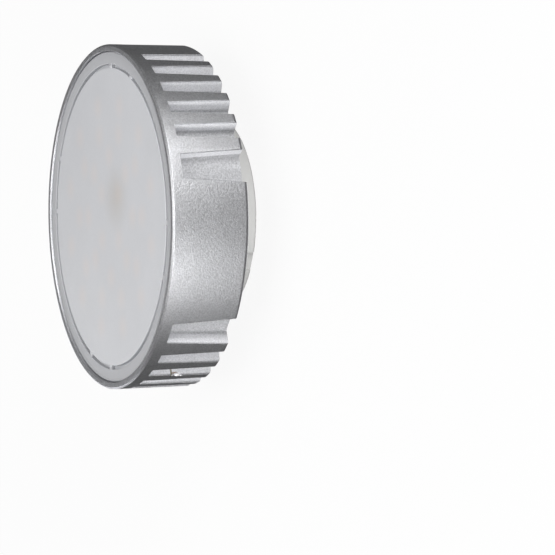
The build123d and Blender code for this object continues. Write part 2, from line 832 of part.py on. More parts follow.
# Film capacitor
with BuildPart() as film_capacitor:
    with BuildSketch(Plane.XY.offset(driver_top_z)):
        with Locations((film_x, driver_radius - film_inset)):
            RectangleRounded(film_length, film_width, film_corner)
    extrude(amount=film_height)
    chamfer(film_capacitor.faces().sort_by(Axis.Z)[-1].edges(), length=film_chamfer)
film_capacitor.part.label = "film_capacitor"
export_step(film_capacitor.part, "parts/film_capacitor.step")

# Fusible resistor, lying, with swollen ends
with BuildPart() as fuse_resistor:
    resistor_y = resistor_inset - driver_radius
    axis_z = driver_top_z + resistor_end_radius
    half = resistor_length / 2
    swell = half - resistor_end_length
    with BuildSketch(Plane(origin=(resistor_x, resistor_y, axis_z), x_dir=(1, 0, 0), z_dir=(0, -1, 0))):
        with BuildLine():
            Polyline(
                (-half, 0),
                (-half, resistor_end_radius - resistor_end_chamfer),
                (-half + resistor_end_chamfer, resistor_end_radius),
                (-swell, resistor_end_radius),
                (-swell + resistor_end_slope, resistor_radius),
                (swell - resistor_end_slope, resistor_radius),
                (swell, resistor_end_radius),
                (half - resistor_end_chamfer, resistor_end_radius),
                (half, resistor_end_radius - resistor_end_chamfer),
                (half, 0),
                close=True,
            )
        make_face()
    revolve(axis=Axis((resistor_x, resistor_y, axis_z), (1, 0, 0)))
fuse_resistor.part.label = "fuse_resistor"
export_step(fuse_resistor.part, "parts/fuse_resistor.step")

# Packages with bent leads along two sides
for name, x, y, body_x, body_y, body_height, leads, lead_width, lead_pitch, lead_reach, lead_along_y in (
    ("driver_chip", 2.4, 0.0, 3.9, 4.9, 1.5, 4, 0.42, 1.27, 1.05, True),
    ("bridge_rectifier", 9.6, 0.0, 3.9, 4.7, 2.4, 2, 0.65, 2.54, 1.1, True),
    ("output_diode", driver_radius - diode_inset, 0.0, 2.6, 4.3, 2.1, 1, 1.45, 1.0, 0.5, False),
):
    with BuildPart() as package:
        with BuildSketch(Plane.XY.offset(driver_top_z + package_lift)):
            with Locations((x, y)):
                Rectangle(body_x, body_y)
        extrude(amount=body_height - package_lift, taper=package_taper)
        span_x = body_x + 2 * lead_reach if lead_along_y else lead_width
        span_y = lead_width if lead_along_y else body_y + 2 * lead_reach
        with BuildSketch(Plane.XY.offset(driver_top_z)):
            with Locations((x, y)):
                with GridLocations(0, lead_pitch, 1, leads):
                    Rectangle(span_x, span_y)
        extrude(amount=lead_thickness)
    package.part.label = name
    export_step(package.part, f"parts/{name}.step")
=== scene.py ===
from math import ceil, cos, pi, radians, sin, sqrt, tan

import bmesh
import bpy
from bpy.props import FloatProperty, FloatVectorProperty, IntProperty, PointerProperty
from mathutils import Matrix, Vector


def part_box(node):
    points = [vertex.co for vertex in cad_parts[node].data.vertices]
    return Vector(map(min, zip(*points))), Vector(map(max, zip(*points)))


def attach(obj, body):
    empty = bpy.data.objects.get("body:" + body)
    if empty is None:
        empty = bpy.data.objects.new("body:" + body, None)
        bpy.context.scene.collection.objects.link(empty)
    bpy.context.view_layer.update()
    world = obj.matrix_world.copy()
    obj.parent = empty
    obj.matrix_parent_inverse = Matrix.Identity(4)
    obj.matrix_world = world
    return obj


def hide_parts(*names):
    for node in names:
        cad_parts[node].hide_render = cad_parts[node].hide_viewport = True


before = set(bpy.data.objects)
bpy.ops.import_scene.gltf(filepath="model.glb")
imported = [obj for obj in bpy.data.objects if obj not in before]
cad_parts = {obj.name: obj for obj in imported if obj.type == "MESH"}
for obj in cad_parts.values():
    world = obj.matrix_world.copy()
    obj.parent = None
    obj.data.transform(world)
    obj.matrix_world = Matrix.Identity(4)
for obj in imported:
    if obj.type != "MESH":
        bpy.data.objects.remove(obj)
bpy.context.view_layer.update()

bl_info = {
    "name": "LED disc lamp",
    "version": (1, 0, 0),
    "blender": (4, 5, 0),
    "location": "View3D > Sidebar > Lamp",
    "description": "Builds the finish of a flat round LED lamp with a finned heat sink around its frame",
    "category": "Object",
}

MM = 0.001
ARC_STEP = radians(10)
CREASE = radians(13)
AROUND, SMALL_AROUND = 360, 48
MIDDLE = Vector((0, 0, 0))

# Places that follow from the frame, in metres
SINK_LOW, SINK_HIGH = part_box("heat_sink")
LENS_LOW, LENS_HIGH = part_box("diffuser")
BOARD_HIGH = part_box("led_board")[1]
TAG_LOW, TAG_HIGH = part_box("pin_tag_a")
PIN_LOW, PIN_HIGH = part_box("contact_pin_a")
FRONT_Z = SINK_HIGH.z
SHOULDER_Z = SINK_LOW.z
LAMP_RADIUS = SINK_HIGH.x
PIN_PLACE = (PIN_LOW.y + PIN_HIGH.y) / 2
WEB_LOW_Z, WEB_HIGH_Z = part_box("insulating_sheet")[1].z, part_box("thermal_pad")[0].z

# Inside of the heat sink, in metres, and the turn of the light-emitting board in degrees
BOSS_RADIUS, BOSS_HEIGHT = 2.9 * MM, 2.8 * MM
PILOT_RADIUS, PILOT_DEPTH = 1.25 * MM, 2.3 * MM
LEAD_HOLE_RADIUS, LEAD_REACH = 2.4 * MM, 4 * MM
SCREW_HOLE_RADIUS, SCREW_HEAD_RADIUS, SCREW_HEAD_GAP = 1.6 * MM, 2.7 * MM, 0.2 * MM
BOARD_SCREW_REACH, BOARD_TURN = 21.61 * MM, 13.0
SNAP_DEPTH, SNAP_HEIGHT = 0.6 * MM, 1.4 * MM
SNAP_SLOPE_LOW, SNAP_SLOPE_HIGH = 0.15 * MM, 0.3 * MM
# Front: its snap hooks, and how deep hooks and bridges go into the plate
HOOK_THICKNESS, HOOK_GAP, BARB, BARB_RISE = 0.9 * MM, 0.3 * MM, 0.45 * MM, 0.6 * MM
ROOT, BRIDGE_ROOT, BRIDGE_DROP = 0.3 * MM, 0.2 * MM, 0.02 * MM
# Pins: slope and rise under the head's edge, rise of its neck, and end of the rivet
HEAD_SLOPE, HEAD_RISE, NECK_RISE, RIVET_END = 0.7 * MM, 0.55 * MM, 0.7 * MM, 1.35 * MM
# Rounds, from moulded corners to the foot of a wall
CORNER_ROUND, EDGE_ROUND, STEP_ROUND, RIVET_ROUND = 0.1 * MM, 0.12 * MM, 0.15 * MM, 0.2 * MM
HEAD_ROUND, NECK_ROUND, FOOT_ROUND = 0.25 * MM, 0.3 * MM, 0.5 * MM
# How far cutters stick out
CUT_OVER, GROOVE_OVER, MOUTH_OVER, MOUTH_FLARE = 0.5 * MM, 1 * MM, 1.2 * MM, radians(15)

# Socket types of the node groups
VALUE, VECTOR, NUMBER = "NodeSocketFloat", "NodeSocketVector", "NodeSocketInt"
SHAPE, THING, MATERIAL = "NodeSocketGeometry", "NodeSocketObject", "NodeSocketMaterial"


def length(name, description, value):
    """Size in millimetres as a Blender length."""
    return FloatProperty(name=name, description=description, default=value * MM, unit="LENGTH",
                         subtype="DISTANCE", precision=5)


def angle(name, description, value):
    """Angle in degrees as a Blender angle."""
    return FloatProperty(name=name, description=description, default=radians(value), subtype="ANGLE")


def number(name, description, value):
    """Plain number."""
    return FloatProperty(name=name, description=description, default=value)


def colour(name, description, value):
    """Colour that a user may change."""
    return FloatVectorProperty(name=name, description=description, subtype="COLOR", size=3, min=0, max=1,
                               default=value)


class StageSettings(bpy.types.PropertyGroup):
    """Camera, lights and floor"""

    distance: length("Camera distance", "From the front of the lamp to the camera", 1200)
    lens: number("Lens", "Focal length in millimetres", 357.8)
    azimuth: angle("Azimuth", "Side that the camera stands on, from +X towards +Y", 13.0)
    elevation: angle("Elevation", "Height of the camera above the lamp's front plane", 21.3)
    roll: angle("Roll", "Turn of the picture about the camera's own axis", -0.92)
    centre_across: number("Centre across", "Pixel column of the front's middle", 108.7)
    centre_down: number("Centre down", "Pixel row of the front's middle", 216.8)
    picture: IntProperty(name="Picture", description="Width and height of the picture in pixels", default=555)
    floor_colour: colour("Floor colour", "Colour of the floor", (0.8, 0.8, 0.8))
    fill: number("Fill", "Brightness of the room's own light", 0.42)
    mirrored: number("Mirrored", "Share of the white background that gloss shows", 0.025)
    bounce: number("Bounce", "Share of its light that the floor throws back on the lamp", 0.7)


class HeatSinkSettings(bpy.types.PropertyGroup):
    """Sizes and colour of the die-cast heat sink"""

    draft: angle("Draft", "Slope of the outer side", 0.95)
    lip_width: length("Lip width", "Flat ring round the front plate", 1.45)
    lip_chamfer: length("Lip chamfer", "Bevel at the front's outer edge", 0.4)
    front_band: length("Front band", "Height of the smooth band above the grooves", 2.75)
    back_rise: length("Back rise", "How far the back slopes towards the front at its edge", 0.9)
    back_round: length("Back round", "Radius of the back's outer edge", 0.9)
    wall: length("Wall", "From the recess for the base to the grooves", 1.7)
    front_wall: length("Front wall", "From the light chamber to the grooves", 2.45)
    seat: length("Base seat", "Width of the step that the base rests on", 1.3)
    depth_front: length("Groove depth, front", "Depth of a groove at its front end", 3.4)
    depth_back: length("Groove depth, back", "Depth of a groove at the back", 4.2)
    flare: angle("Groove flare", "Slope of a groove's walls", 4.0)
    floor_round: length("Groove floor round", "Radius along a groove's floor", 0.5)
    mouth_round: length("Groove mouth round", "Radius along a groove's mouth", 0.3)
    narrow_front: length("Narrow groove, front", "Width of a narrow groove at its front end", 2.75)
    narrow_back: length("Narrow groove, back", "Width of a narrow groove at the back", 3.95)
    narrow_first: angle("First narrow groove", "Angle from the middle of the smooth panel", 42.15)
    narrow_pitch: angle("Narrow groove pitch", "Angle from one narrow groove to the next", 9.25)
    narrow_count: IntProperty(name="Narrow grooves", description="Count on each side of a panel", default=5)
    wide_front: length("Wide groove, front", "Width of a wide groove at its front end", 5.25)
    wide_back: length("Wide groove, back", "Width of a wide groove at the back", 7.45)
    wide_first: angle("Wide groove", "Angle from the middle of the smooth panel", 29.4)
    colour: colour("Spray colour", "Colour of the sprayed aluminium", (0.82, 0.825, 0.85))


class DiffuserSettings(bpy.types.PropertyGroup):
    """Sizes and colour of the frosted front plate"""

    thickness: length("Thickness", "Thickness of the plate", 2.0)
    edge: length("Edge chamfer", "Bevel at the plate's outer edge", 0.25)
    ring_radius: length("Ring radius", "Middle of the moulded ring groove", 32.8)
    ring_width: length("Ring width", "Width of the ring groove", 0.85)
    ring_depth: length("Ring depth", "Depth of the ring groove", 0.9)
    bridge_width: length("Bridge width", "Width of a bridge over the ring groove", 1.1)
    bridge_angle: angle("Bridge angle", "From a quarter to the bridge beside it", 10.5)
    hook_arc: angle("Hook arc", "Length of a snap hook round the plate", 16)
    colour: colour("Frosted colour", "Colour of the frosted plastic", (0.565, 0.572, 0.594))


class PinSettings(bpy.types.PropertyGroup):
    """Sizes and colour of the contact pins"""

    head_radius: length("Head radius", "Radius of a pin's head", 2.45)
    head_height: length("Head height", "Straight part of a pin's head", 1.9)
    neck_radius: length("Neck radius", "Radius under the head", 1.2)
    flange: length("Flange", "Thickness of the flange on the base", 0.5)
    shank_radius: length("Shank radius", "Radius inside the base", 1.4)
    rivet_radius: length("Rivet radius", "Radius of the riveted end", 1.95)
    colour: colour("Brass colour", "Colour of the brass", (0.78, 0.55, 0.22))


class FinishSettings(bpy.types.PropertyGroup):
    """Colours of the plain plastic and of the board"""

    base_colour: colour("Base colour", "White plastic of the base", (0.50, 0.50, 0.493))
    board_colour: colour("Board colour", "Solder mask of the light-emitting board", (0.78, 0.78, 0.76))
    glow_colour: colour("Phosphor colour", "Windows of the light-emitting packages", (0.80, 0.58, 0.10))


def feed(tree, socket, value):
    """Links or sets one input."""
    if isinstance(value, bpy.types.NodeSocket):
        tree.links.new(value, socket)
    else:
        socket.default_value = value


def put(tree, kind, inputs=None, **attributes):
    """Adds a node, sets its attributes, and sets or links each input, named or numbered."""
    node = tree.nodes.new(kind)
    for name, value in attributes.items():
        setattr(node, name, value)
    for key, value in (inputs or {}).items():
        feed(tree, node.inputs[key], value)
    return node


def calc(tree, operation, *values):
    """Adds a Math node on these values and gives its result."""
    return put(tree, "ShaderNodeMath", dict(enumerate(values)), operation=operation).outputs[0]


def blend(tree, mask, first, second, share=None):
    """Mixes two colours by a mask, or by a share of it, and gives the result."""
    factor = mask if share is None else calc(tree, "MULTIPLY", mask, share)
    node = put(tree, "ShaderNodeMix", {"Factor": factor}, data_type="RGBA")
    for key, value in ((6, first), (7, second)):
        feed(tree, node.inputs[key], value if isinstance(value, bpy.types.NodeSocket) else (*value, 1))
    return node.outputs[2]


def spread(tree, value, low, high, to_low=0.0, to_high=1.0, kind="SMOOTHSTEP"):
    """Maps a value from one range to another and gives the result."""
    inputs = {"Value": value, "From Min": low, "From Max": high, "To Min": to_low, "To Max": to_high}
    return put(tree, "ShaderNodeMapRange", inputs, interpolation_type=kind).outputs[0]


def position(tree):
    """Place on the object, as x, y and z."""
    place = put(tree, "ShaderNodeTexCoord").outputs["Object"]
    return put(tree, "ShaderNodeSeparateXYZ", {0: place}).outputs


def hypotenuse(tree, x, y):
    """Distance from the middle of these two values."""
    return calc(tree, "SQRT", calc(tree, "ADD", calc(tree, "MULTIPLY", x, x), calc(tree, "MULTIPLY", y, y)))


def facing_up(tree):
    """Upward part of the surface's normal."""
    return put(tree, "ShaderNodeSeparateXYZ", {0: put(tree, "ShaderNodeNewGeometry").outputs["Normal"]}).outputs[2]


def new_group(name, kind, inputs, outputs):
    """Node group with named inputs and outputs, and the socket lookups of both ends."""
    group = bpy.data.node_groups.new(name, kind)
    for label, socket, value in inputs:
        item = group.interface.new_socket(label, in_out="INPUT", socket_type=socket)
        if value is not None:
            item.default_value = value
    for label, socket in outputs:
        group.interface.new_socket(label, in_out="OUTPUT", socket_type=socket)
    return group, group.nodes.new("NodeGroupInput").outputs, group.nodes.new("NodeGroupOutput").inputs


def use(tree, group, **inputs):
    """Places a shader node group and gives its outputs."""
    node = put(tree, "ShaderNodeGroup", node_tree=bpy.data.node_groups[group])
    for name, value in inputs.items():
        feed(tree, node.inputs[name.replace("_", " ")], value)
    return node.outputs


def grain_group():
    """Grain of a cast, moulded or sprayed surface: a fine and a broad pattern and their height."""
    group, inputs, outputs = new_group(
        "grain", "ShaderNodeTree",
        [("Size", VALUE, 0.4 * MM), ("Broad size", VALUE, 6 * MM)],
        [("Fine", VALUE), ("Broad", VALUE), ("Height", VALUE)],
    )
    place = put(group, "ShaderNodeTexCoord").outputs["Object"]
    results = []
    for label in ("Size", "Broad size"):
        scale = calc(group, "DIVIDE", 1.0, inputs[label])
        noise = put(group, "ShaderNodeTexNoise", {"Vector": place, "Scale": scale, "Detail": 3.0, "Roughness": 0.6})
        results.append(spread(group, noise.outputs[0], 0.3, 0.7, kind="LINEAR"))
    group.links.new(results[0], outputs["Fine"])
    group.links.new(results[1], outputs["Broad"])
    group.links.new(calc(group, "MULTIPLY_ADD", results[1], 0.35, results[0]), outputs["Height"])


def spot_group():
    """Soft spot round one point."""
    group, inputs, outputs = new_group(
        "spot", "ShaderNodeTree",
        [("Centre", VECTOR, None), ("Shape", VECTOR, (1, 1, 1)), ("Radius", VALUE, MM), ("Softness", VALUE, 0.5 * MM)],
        [("Mask", VALUE)],
    )
    place = put(group, "ShaderNodeTexCoord").outputs["Object"]
    offset = put(group, "ShaderNodeVectorMath", {0: place, 1: inputs["Centre"]}, operation="SUBTRACT")
    shaped = put(group, "ShaderNodeVectorMath", {0: offset.outputs[0], 1: inputs["Shape"]}, operation="MULTIPLY")
    reach = put(group, "ShaderNodeVectorMath", {0: shaped.outputs[0]}, operation="LENGTH").outputs["Value"]
    inside = calc(group, "SUBTRACT", inputs["Radius"], reach)
    low = calc(group, "MULTIPLY", inputs["Softness"], -1.0)
    group.links.new(spread(group, inside, low, inputs["Softness"]), outputs["Mask"])


def ring_spots_group():
    """Soft spots at even angles on one ring round the axis."""
    group, inputs, outputs = new_group(
        "ring_spots", "ShaderNodeTree",
        [("Ring", VALUE, 10 * MM), ("Count", VALUE, 8.0), ("Start", VALUE, 0.0), ("Radius", VALUE, MM)],
        [("Mask", VALUE)],
    )
    x, y = position(group)[:2]
    turn = calc(group, "SUBTRACT", calc(group, "ARCTAN2", y, x), inputs["Start"])
    half = calc(group, "DIVIDE", pi, inputs["Count"])
    near = calc(group, "WRAP", turn, half, calc(group, "MULTIPLY", half, -1.0))
    along = calc(group, "MULTIPLY", near, inputs["Ring"])
    off = calc(group, "SUBTRACT", hypotenuse(group, x, y), inputs["Ring"])
    reach = hypotenuse(group, along, off)
    group.links.new(spread(group, reach, inputs["Radius"], 0.0), outputs["Mask"])


def new_material(name, fine, broad):
    """Material with its tree and a grain of these sizes in millimetres."""
    material = bpy.data.materials.new(name)
    material.use_nodes = True
    tree = material.node_tree
    return material, tree, use(tree, "grain", Size=fine * MM, Broad_size=broad * MM)


def connect(material, grain, bump, rough, body, height=None, pattern="Fine", **inputs):
    """Feeds the material's shader: a bump in millimetres, a range of roughness, a colour and the other inputs."""
    tree = material.node_tree
    height = grain["Height"] if height is None else height
    inputs["Base Color"] = body
    inputs["Roughness"] = spread(tree, grain[pattern], 0.0, 1.0, *rough, "LINEAR")
    inputs["Normal"] = put(tree, "ShaderNodeBump", {"Distance": bump * MM, "Height": height}).outputs[0]
    for name, value in inputs.items():
        feed(tree, tree.nodes["Principled BSDF"].inputs[name.replace("_", " ")], value)
    return material


def direction(turn, height):
    """Unit vector at this turn round the axis and height angle, both in radians."""
    return Vector((cos(turn) * cos(height), sin(turn) * cos(height), sin(height)))


def shade(base, factor):
    """Lighter or darker version of a colour."""
    return [min(1.0, c * factor) for c in base]


def polar(radius, degrees, z=0.0):
    """Point at this radius and angle round the lamp's axis."""
    return Vector((radius * cos(radians(degrees)), radius * sin(radians(degrees)), z))


# Worn spot on one fin's edge: its scoops by distance behind the front and radius, and their lift, in mm
CHIP_POINTS = [(8.2, 0.75), (9.3, 0.95), (10.4, 0.8)]
CHIP_LIFT = 0.45
# Stains beside it: shift in mm, stretch, radius in mm and colour
STAINS = (
    ((-0.9, 1.0, 0.0), (0.45, 0.45, 2.4), 0.50, (0.20, 0.19, 0.12)),
    ((-0.5, 0.8, -0.75), (1.3, 1.3, 0.5), 0.34, (0.22, 0.12, 0.05)),
)
BARE_METAL = (0.90, 0.89, 0.88)
WORN_DROP = Vector((0, 0, 0.35 * MM))
# Sprayed metal by distance inwards from the side: sheltered from here, painted shade deep in a groove from there, in
# metres
SHELTERED, GROOVE_SHADE = (0.1 * MM, 0.5 * MM), (2.3 * MM, 3.3 * MM)


def chip_places(settings):
    """Middle and radius of each scoop of the worn spot on one fin's edge."""
    places = []
    for depth, radius in CHIP_POINTS:
        z = FRONT_Z - depth * MM
        side = outer_radius(settings, z)
        half = groove_width(settings, z, settings.narrow_front, settings.narrow_back) / 2
        turn = -(settings.narrow_first + settings.narrow_pitch) - half / side
        r = side + CHIP_LIFT * MM
        places.append((Vector((r * cos(turn), r * sin(turn), z)), radius * MM))
    return places


def sprayed_aluminium(settings):
    """Silver spray on a die casting: fine bright flakes, a soft orange peel, painted groove shade, one worn spot."""
    material, tree, grain = new_material("sprayed_aluminium", 0.38, 9)
    flakes = use(tree, "grain", Size=0.16 * MM, Broad_size=1.1 * MM)
    base = tuple(settings.colour)
    body = blend(tree, grain["Fine"], shade(base, 0.80), shade(base, 1.09))
    body = blend(tree, spread(tree, flakes["Fine"], 0.72, 0.95), body, shade(base, 1.4))
    body = blend(tree, spread(tree, grain["Broad"], 0.3, 1.0, 0.0, 0.25), body, shade(base, 0.82))
    x, y, z = position(tree)
    side = calc(tree, "MULTIPLY_ADD", z, tan(settings.draft), outer_radius(settings, 0))
    inset = calc(tree, "SUBTRACT", side, hypotenuse(tree, x, y))
    sheltered = calc(tree, "MULTIPLY", spread(tree, inset, *SHELTERED),
                     calc(tree, "LESS_THAN", z, FRONT_Z - settings.front_band + 0.1 * MM))
    groove_shade = calc(tree, "MULTIPLY", sheltered, spread(tree, inset, *GROOVE_SHADE))
    # Painted shade: the groove floors darken with depth, where shade falls inside the grooves
    shadowed = blend(tree, grain["Fine"], shade(base, 0.28), shade(base, 0.60))
    body = blend(tree, groove_shade, body, shadowed, 0.75)
    places = chip_places(settings)
    worn = use(tree, "spot", Centre=places[1][0] - WORN_DROP, Shape=(1.0, 1.0, 0.65),
               Radius=0.85 * MM, Softness=0.12 * MM)["Mask"]
    body = blend(tree, worn, body, BARE_METAL)
    sheltered = calc(tree, "MAXIMUM", sheltered, worn)
    for shift, stretch, radius, tint in STAINS:
        stain = use(tree, "spot", Centre=places[0][0] + Vector(shift) * MM, Shape=stretch, Radius=radius * MM,
                    Softness=0.25 * MM)["Mask"]
        body = blend(tree, stain, body, tint, 0.85)
    metal = calc(tree, "SUBTRACT", spread(tree, flakes["Fine"], 0.35, 0.9, 0.97, 1.0, "LINEAR"),
                 calc(tree, "MULTIPLY", sheltered, 0.85))
    return connect(material, grain, 0.026, (0.43, 0.51), body, Metallic=metal, Specular_IOR_Level=0.35,
                   Specular_Tint=(0.05, 0.05, 0.06, 1))


# Rings of light-emitting packages: radius in mm, count, angle of the first in degrees
LED_RINGS = ((7.1, 4, 58.0), (13.09, 8, 13.0), (18.5, 10, 13.0), (24.7, 12, 28.0))
# Spots round the packages, in mm: their painted glow on the front and the tracks on the board
GLOW_SPOT, TRACK_SPOT = 3.8, 3.6
# Colours of the packages' painted glow and of the leads' painted show-through on the front
PAINTED_GLOW, LEADS_SHOW_THROUGH = (0.67, 0.575, 0.53), (0.36, 0.29, 0.20)


def package_spots(tree, radius):
    """Mask of a soft spot of this radius in millimetres round each package."""
    spots = 0.0
    for ring, count, start in LED_RINGS:
        mask = use(tree, "ring_spots", Ring=ring * MM, Count=float(count), Start=radians(start), Radius=radius * MM)
        spots = calc(tree, "MAXIMUM", spots, mask["Mask"])
    return spots


def frosted_plastic(settings):
    """Frosted plate: painted glow of packages and show-through of leads, a duller flange outside the ring groove."""
    material, tree, grain = new_material("frosted_plastic", 0.3, 14)
    base = tuple(settings.colour)
    x, y, z = position(tree)
    body = blend(tree, grain["Broad"], shade(base, 0.975), shade(base, 1.02))
    body = blend(tree, grain["Fine"], body, shade(base, 0.94), 0.35)
    # Painted glow of the packages and painted show-through of the dark leads beneath the plate
    body = blend(tree, package_spots(tree, GLOW_SPOT), body, PAINTED_GLOW, 0.24)
    leads = use(tree, "spot", Centre=polar(5.2 * MM, 62, LENS_HIGH.z), Radius=4.2 * MM, Softness=4.6 * MM)["Mask"]
    body = blend(tree, leads, body, LEADS_SHOW_THROUGH, 0.24)
    ring = settings.ring_radius
    flange = spread(tree, hypotenuse(tree, x, y), ring - 0.2 * MM, ring + 0.2 * MM)
    body = blend(tree, flange, body, shade(base, 0.76))
    # Painted light: the inside of the ring groove gets an even tone near the disc's, lighter than the flange, against
    # its shade
    groove = spread(tree, z, LENS_HIGH.z - 0.4 * MM, LENS_HIGH.z - 0.1 * MM, 1.0, 0.0)
    body = blend(tree, groove, body, shade(base, 0.98), 0.8)
    return connect(material, grain, 0.006, (0.46, 0.56), body, Specular_IOR_Level=0.35, Subsurface_Weight=0.12,
                   Subsurface_Scale=1.5 * MM, Subsurface_Radius=(1, 1, 1))


def brass(settings):
    """Turned brass, a little duller and browner in patches."""
    material, tree, grain = new_material("brass", 0.25, 2.5)
    base = tuple(settings.colour)
    body = blend(tree, grain["Broad"], base, shade(base, 0.62))
    return connect(material, grain, 0.004, (0.22, 0.42), body, pattern="Broad", Metallic=1.0)


# Finish: colour, lighter or darker share, grain, broad pattern and bump in mm, roughness, metal, specular.
# The white plastic takes its colour from the settings.
PLAIN_FINISHES = {
    "white_plastic": (None, 0.05, 0.22, 12.0, 0.006, (0.42, 0.52), 0.0, 0.4),
    "tinned_tag": ((0.52, 0.52, 0.50), 0.18, 0.12, 1.5, 0.004, (0.28, 0.45), 1.0, 0.5),
    "thermal_pad": ((0.33, 0.35, 0.38), 0.10, 0.30, 8.0, 0.010, (0.70, 0.85), 0.0, 0.3),
    "zinc_screw": ((0.50, 0.51, 0.53), 0.20, 0.10, 1.2, 0.003, (0.25, 0.42), 1.0, 0.5),
    "grommet_rubber": ((0.075, 0.045, 0.03), 0.15, 0.18, 3.0, 0.008, (0.60, 0.78), 0.0, 0.3),
    "red_insulation": ((0.30, 0.012, 0.010), 0.10, 0.15, 3.0, 0.004, (0.38, 0.50), 0.0, 0.4),
    "black_insulation": ((0.012, 0.012, 0.012), 0.25, 0.15, 3.0, 0.004, (0.38, 0.50), 0.0, 0.4),
    "white_insulation": ((0.60, 0.60, 0.57), 0.08, 0.15, 3.0, 0.004, (0.38, 0.50), 0.0, 0.4),
    "amber_film": ((0.42, 0.17, 0.018), 0.12, 0.40, 5.0, 0.005, (0.18, 0.30), 0.0, 0.5),
    "ferrite": ((0.018, 0.018, 0.020), 0.35, 0.10, 1.5, 0.008, (0.55, 0.75), 0.15, 0.4),
    "black_moulding": ((0.012, 0.012, 0.014), 0.30, 0.12, 2.0, 0.006, (0.48, 0.62), 0.0, 0.4),
    "film_capacitor_case": ((0.17, 0.018, 0.008), 0.15, 0.50, 4.0, 0.010, (0.20, 0.34), 0.0, 0.5),
}


def plain_finish(name, base=None):
    """Moulded, plated or dipped surface with its own grain, in the table's colour or in this one."""
    own, share, size, broad, bump, rough, metal, specular = PLAIN_FINISHES[name]
    base = base or own
    material, tree, grain = new_material(name, size, broad)
    body = blend(tree, grain["Broad"], shade(base, 1 - share), shade(base, 1 + share))
    body = blend(tree, grain["Fine"], body, shade(base, 1 - share), 0.4)
    return connect(material, grain, bump, rough, body, Metallic=metal, Specular_IOR_Level=specular)


def arc_line(corners):
    """Points of a line through corners (x, y, radius), each corner rounded by its own arc."""
    points = []
    for i, (x, y, radius) in enumerate(corners):
        here = Vector((x, y))
        if radius == 0 or i in (0, len(corners) - 1):
            points.append(here)
            continue
        back = (Vector(corners[i - 1][:2]) - here).normalized()
        ahead = (Vector(corners[i + 1][:2]) - here).normalized()
        turn = pi - back.angle(ahead)
        reach = radius * tan(turn / 2)
        middle = here + (back + ahead).normalized() * sqrt(radius ** 2 + reach ** 2)
        steps = max(2, ceil(turn / ARC_STEP))
        first = here + back * reach - middle
        sign = 1 if back.cross(ahead) < 0 else -1
        for k in range(steps + 1):
            a = sign * turn * k / steps
            points.append(middle + Vector((first.x * cos(a) - first.y * sin(a), first.x * sin(a) + first.y * cos(a))))
    return points


def mesh_from(name, bm):
    """Plain mesh from a bmesh, with its faces pointing outwards."""
    bmesh.ops.recalc_face_normals(bm, faces=bm.faces)
    mesh = bpy.data.meshes.new(name)
    bm.to_mesh(mesh)
    bm.free()
    return mesh


def turned(bm, line, around, x, y):
    """Adds a closed solid turned about an upright axis, from a line that starts and ends on it."""
    rings = []
    for r, z in line:
        if r < 1e-7:
            rings.append([bm.verts.new((x, y, z))])
        else:
            rings.append([bm.verts.new((x + r * cos(2 * pi * k / around), y + r * sin(2 * pi * k / around), z))
                          for k in range(around)])
    for low, high in zip(rings, rings[1:]):
        for k in range(around):
            corners = [low[k % len(low)], low[(k + 1) % len(low)], high[(k + 1) % len(high)], high[k % len(high)]]
            face = list(dict.fromkeys(corners))
            if len(face) > 2:
                bm.faces.new(face)


def lofted(bm, sections):
    """Adds a closed solid through sections of equal length."""
    rings = [[bm.verts.new(point) for point in section] for section in sections]
    for low, high in zip(rings, rings[1:]):
        for k in range(len(low)):
            bm.faces.new((low[k], low[(k + 1) % len(low)], high[(k + 1) % len(low)], high[k]))
    bm.faces.new(rings[0])
    bm.faces.new(rings[-1])


def new_object(name, mesh):
    """Object in the scene for this mesh."""
    obj = bpy.data.objects.new(name, mesh)
    bpy.context.scene.collection.objects.link(obj)
    return obj


def turned_solids(name, solids, around=SMALL_AROUND):
    """One object of turned solids, each a line and a place."""
    bm = bmesh.new()
    for line, place in solids:
        turned(bm, line, around, place.x, place.y)
    return new_object(name, mesh_from(name, bm))


def lofted_solid(name, sections):
    """Object of one solid through sections."""
    bm = bmesh.new()
    lofted(bm, sections)
    return new_object(name, mesh_from(name, bm))


def grow(obj, tree, helpers, **values):
    """Runs a Geometry Nodes tree on the object and keeps the result as a plain mesh, sharp at its creases."""
    modifier = obj.modifiers.new(tree.name, "NODES")
    modifier.node_group = tree
    for item in tree.interface.items_tree:
        if item.in_out == "INPUT" and item.name.replace(" ", "_") in values:
            modifier[item.identifier] = values[item.name.replace(" ", "_")]
    result = bpy.data.meshes.new_from_object(obj.evaluated_get(bpy.context.evaluated_depsgraph_get()))
    obj.modifiers.clear()
    obj.data = result
    result.shade_smooth()
    result.set_sharp_from_angle(angle=CREASE)
    for helper in helpers:
        bpy.data.objects.remove(helper)


def turns_group():
    """Turn of each copy round the axis: evenly stepped groups, mirrored within each group."""
    group, inputs, outputs = new_group(
        "turns_round_axis", "GeometryNodeTree",
        [("Groups", NUMBER, 2), ("Sides", NUMBER, 2), ("Count", NUMBER, 1), ("First", VALUE, 0.0),
         ("Pitch", VALUE, 0.0)],
        [("Points", SHAPE), ("Turn", VECTOR)],
    )
    per_group = calc(group, "MULTIPLY", inputs["Sides"], inputs["Count"])
    points = put(group, "GeometryNodePoints", {"Count": calc(group, "MULTIPLY", per_group, inputs["Groups"])})
    index = put(group, "GeometryNodeInputIndex").outputs[0]
    place = calc(group, "MODULO", index, inputs["Count"])
    row = calc(group, "FLOOR", calc(group, "DIVIDE", index, inputs["Count"]))
    side = calc(group, "MULTIPLY_ADD", calc(group, "MODULO", row, inputs["Sides"]), -2.0, 1.0)
    step = calc(group, "MULTIPLY", calc(group, "FLOOR", calc(group, "DIVIDE", index, per_group)),
                calc(group, "DIVIDE", 2 * pi, inputs["Groups"]))
    offset = calc(group, "MULTIPLY_ADD", place, inputs["Pitch"], inputs["First"])
    turn = put(group, "ShaderNodeCombineXYZ", {2: calc(group, "MULTIPLY_ADD", side, offset, step)})
    group.links.new(points.outputs[0], outputs["Points"])
    group.links.new(turn.outputs[0], outputs["Turn"])


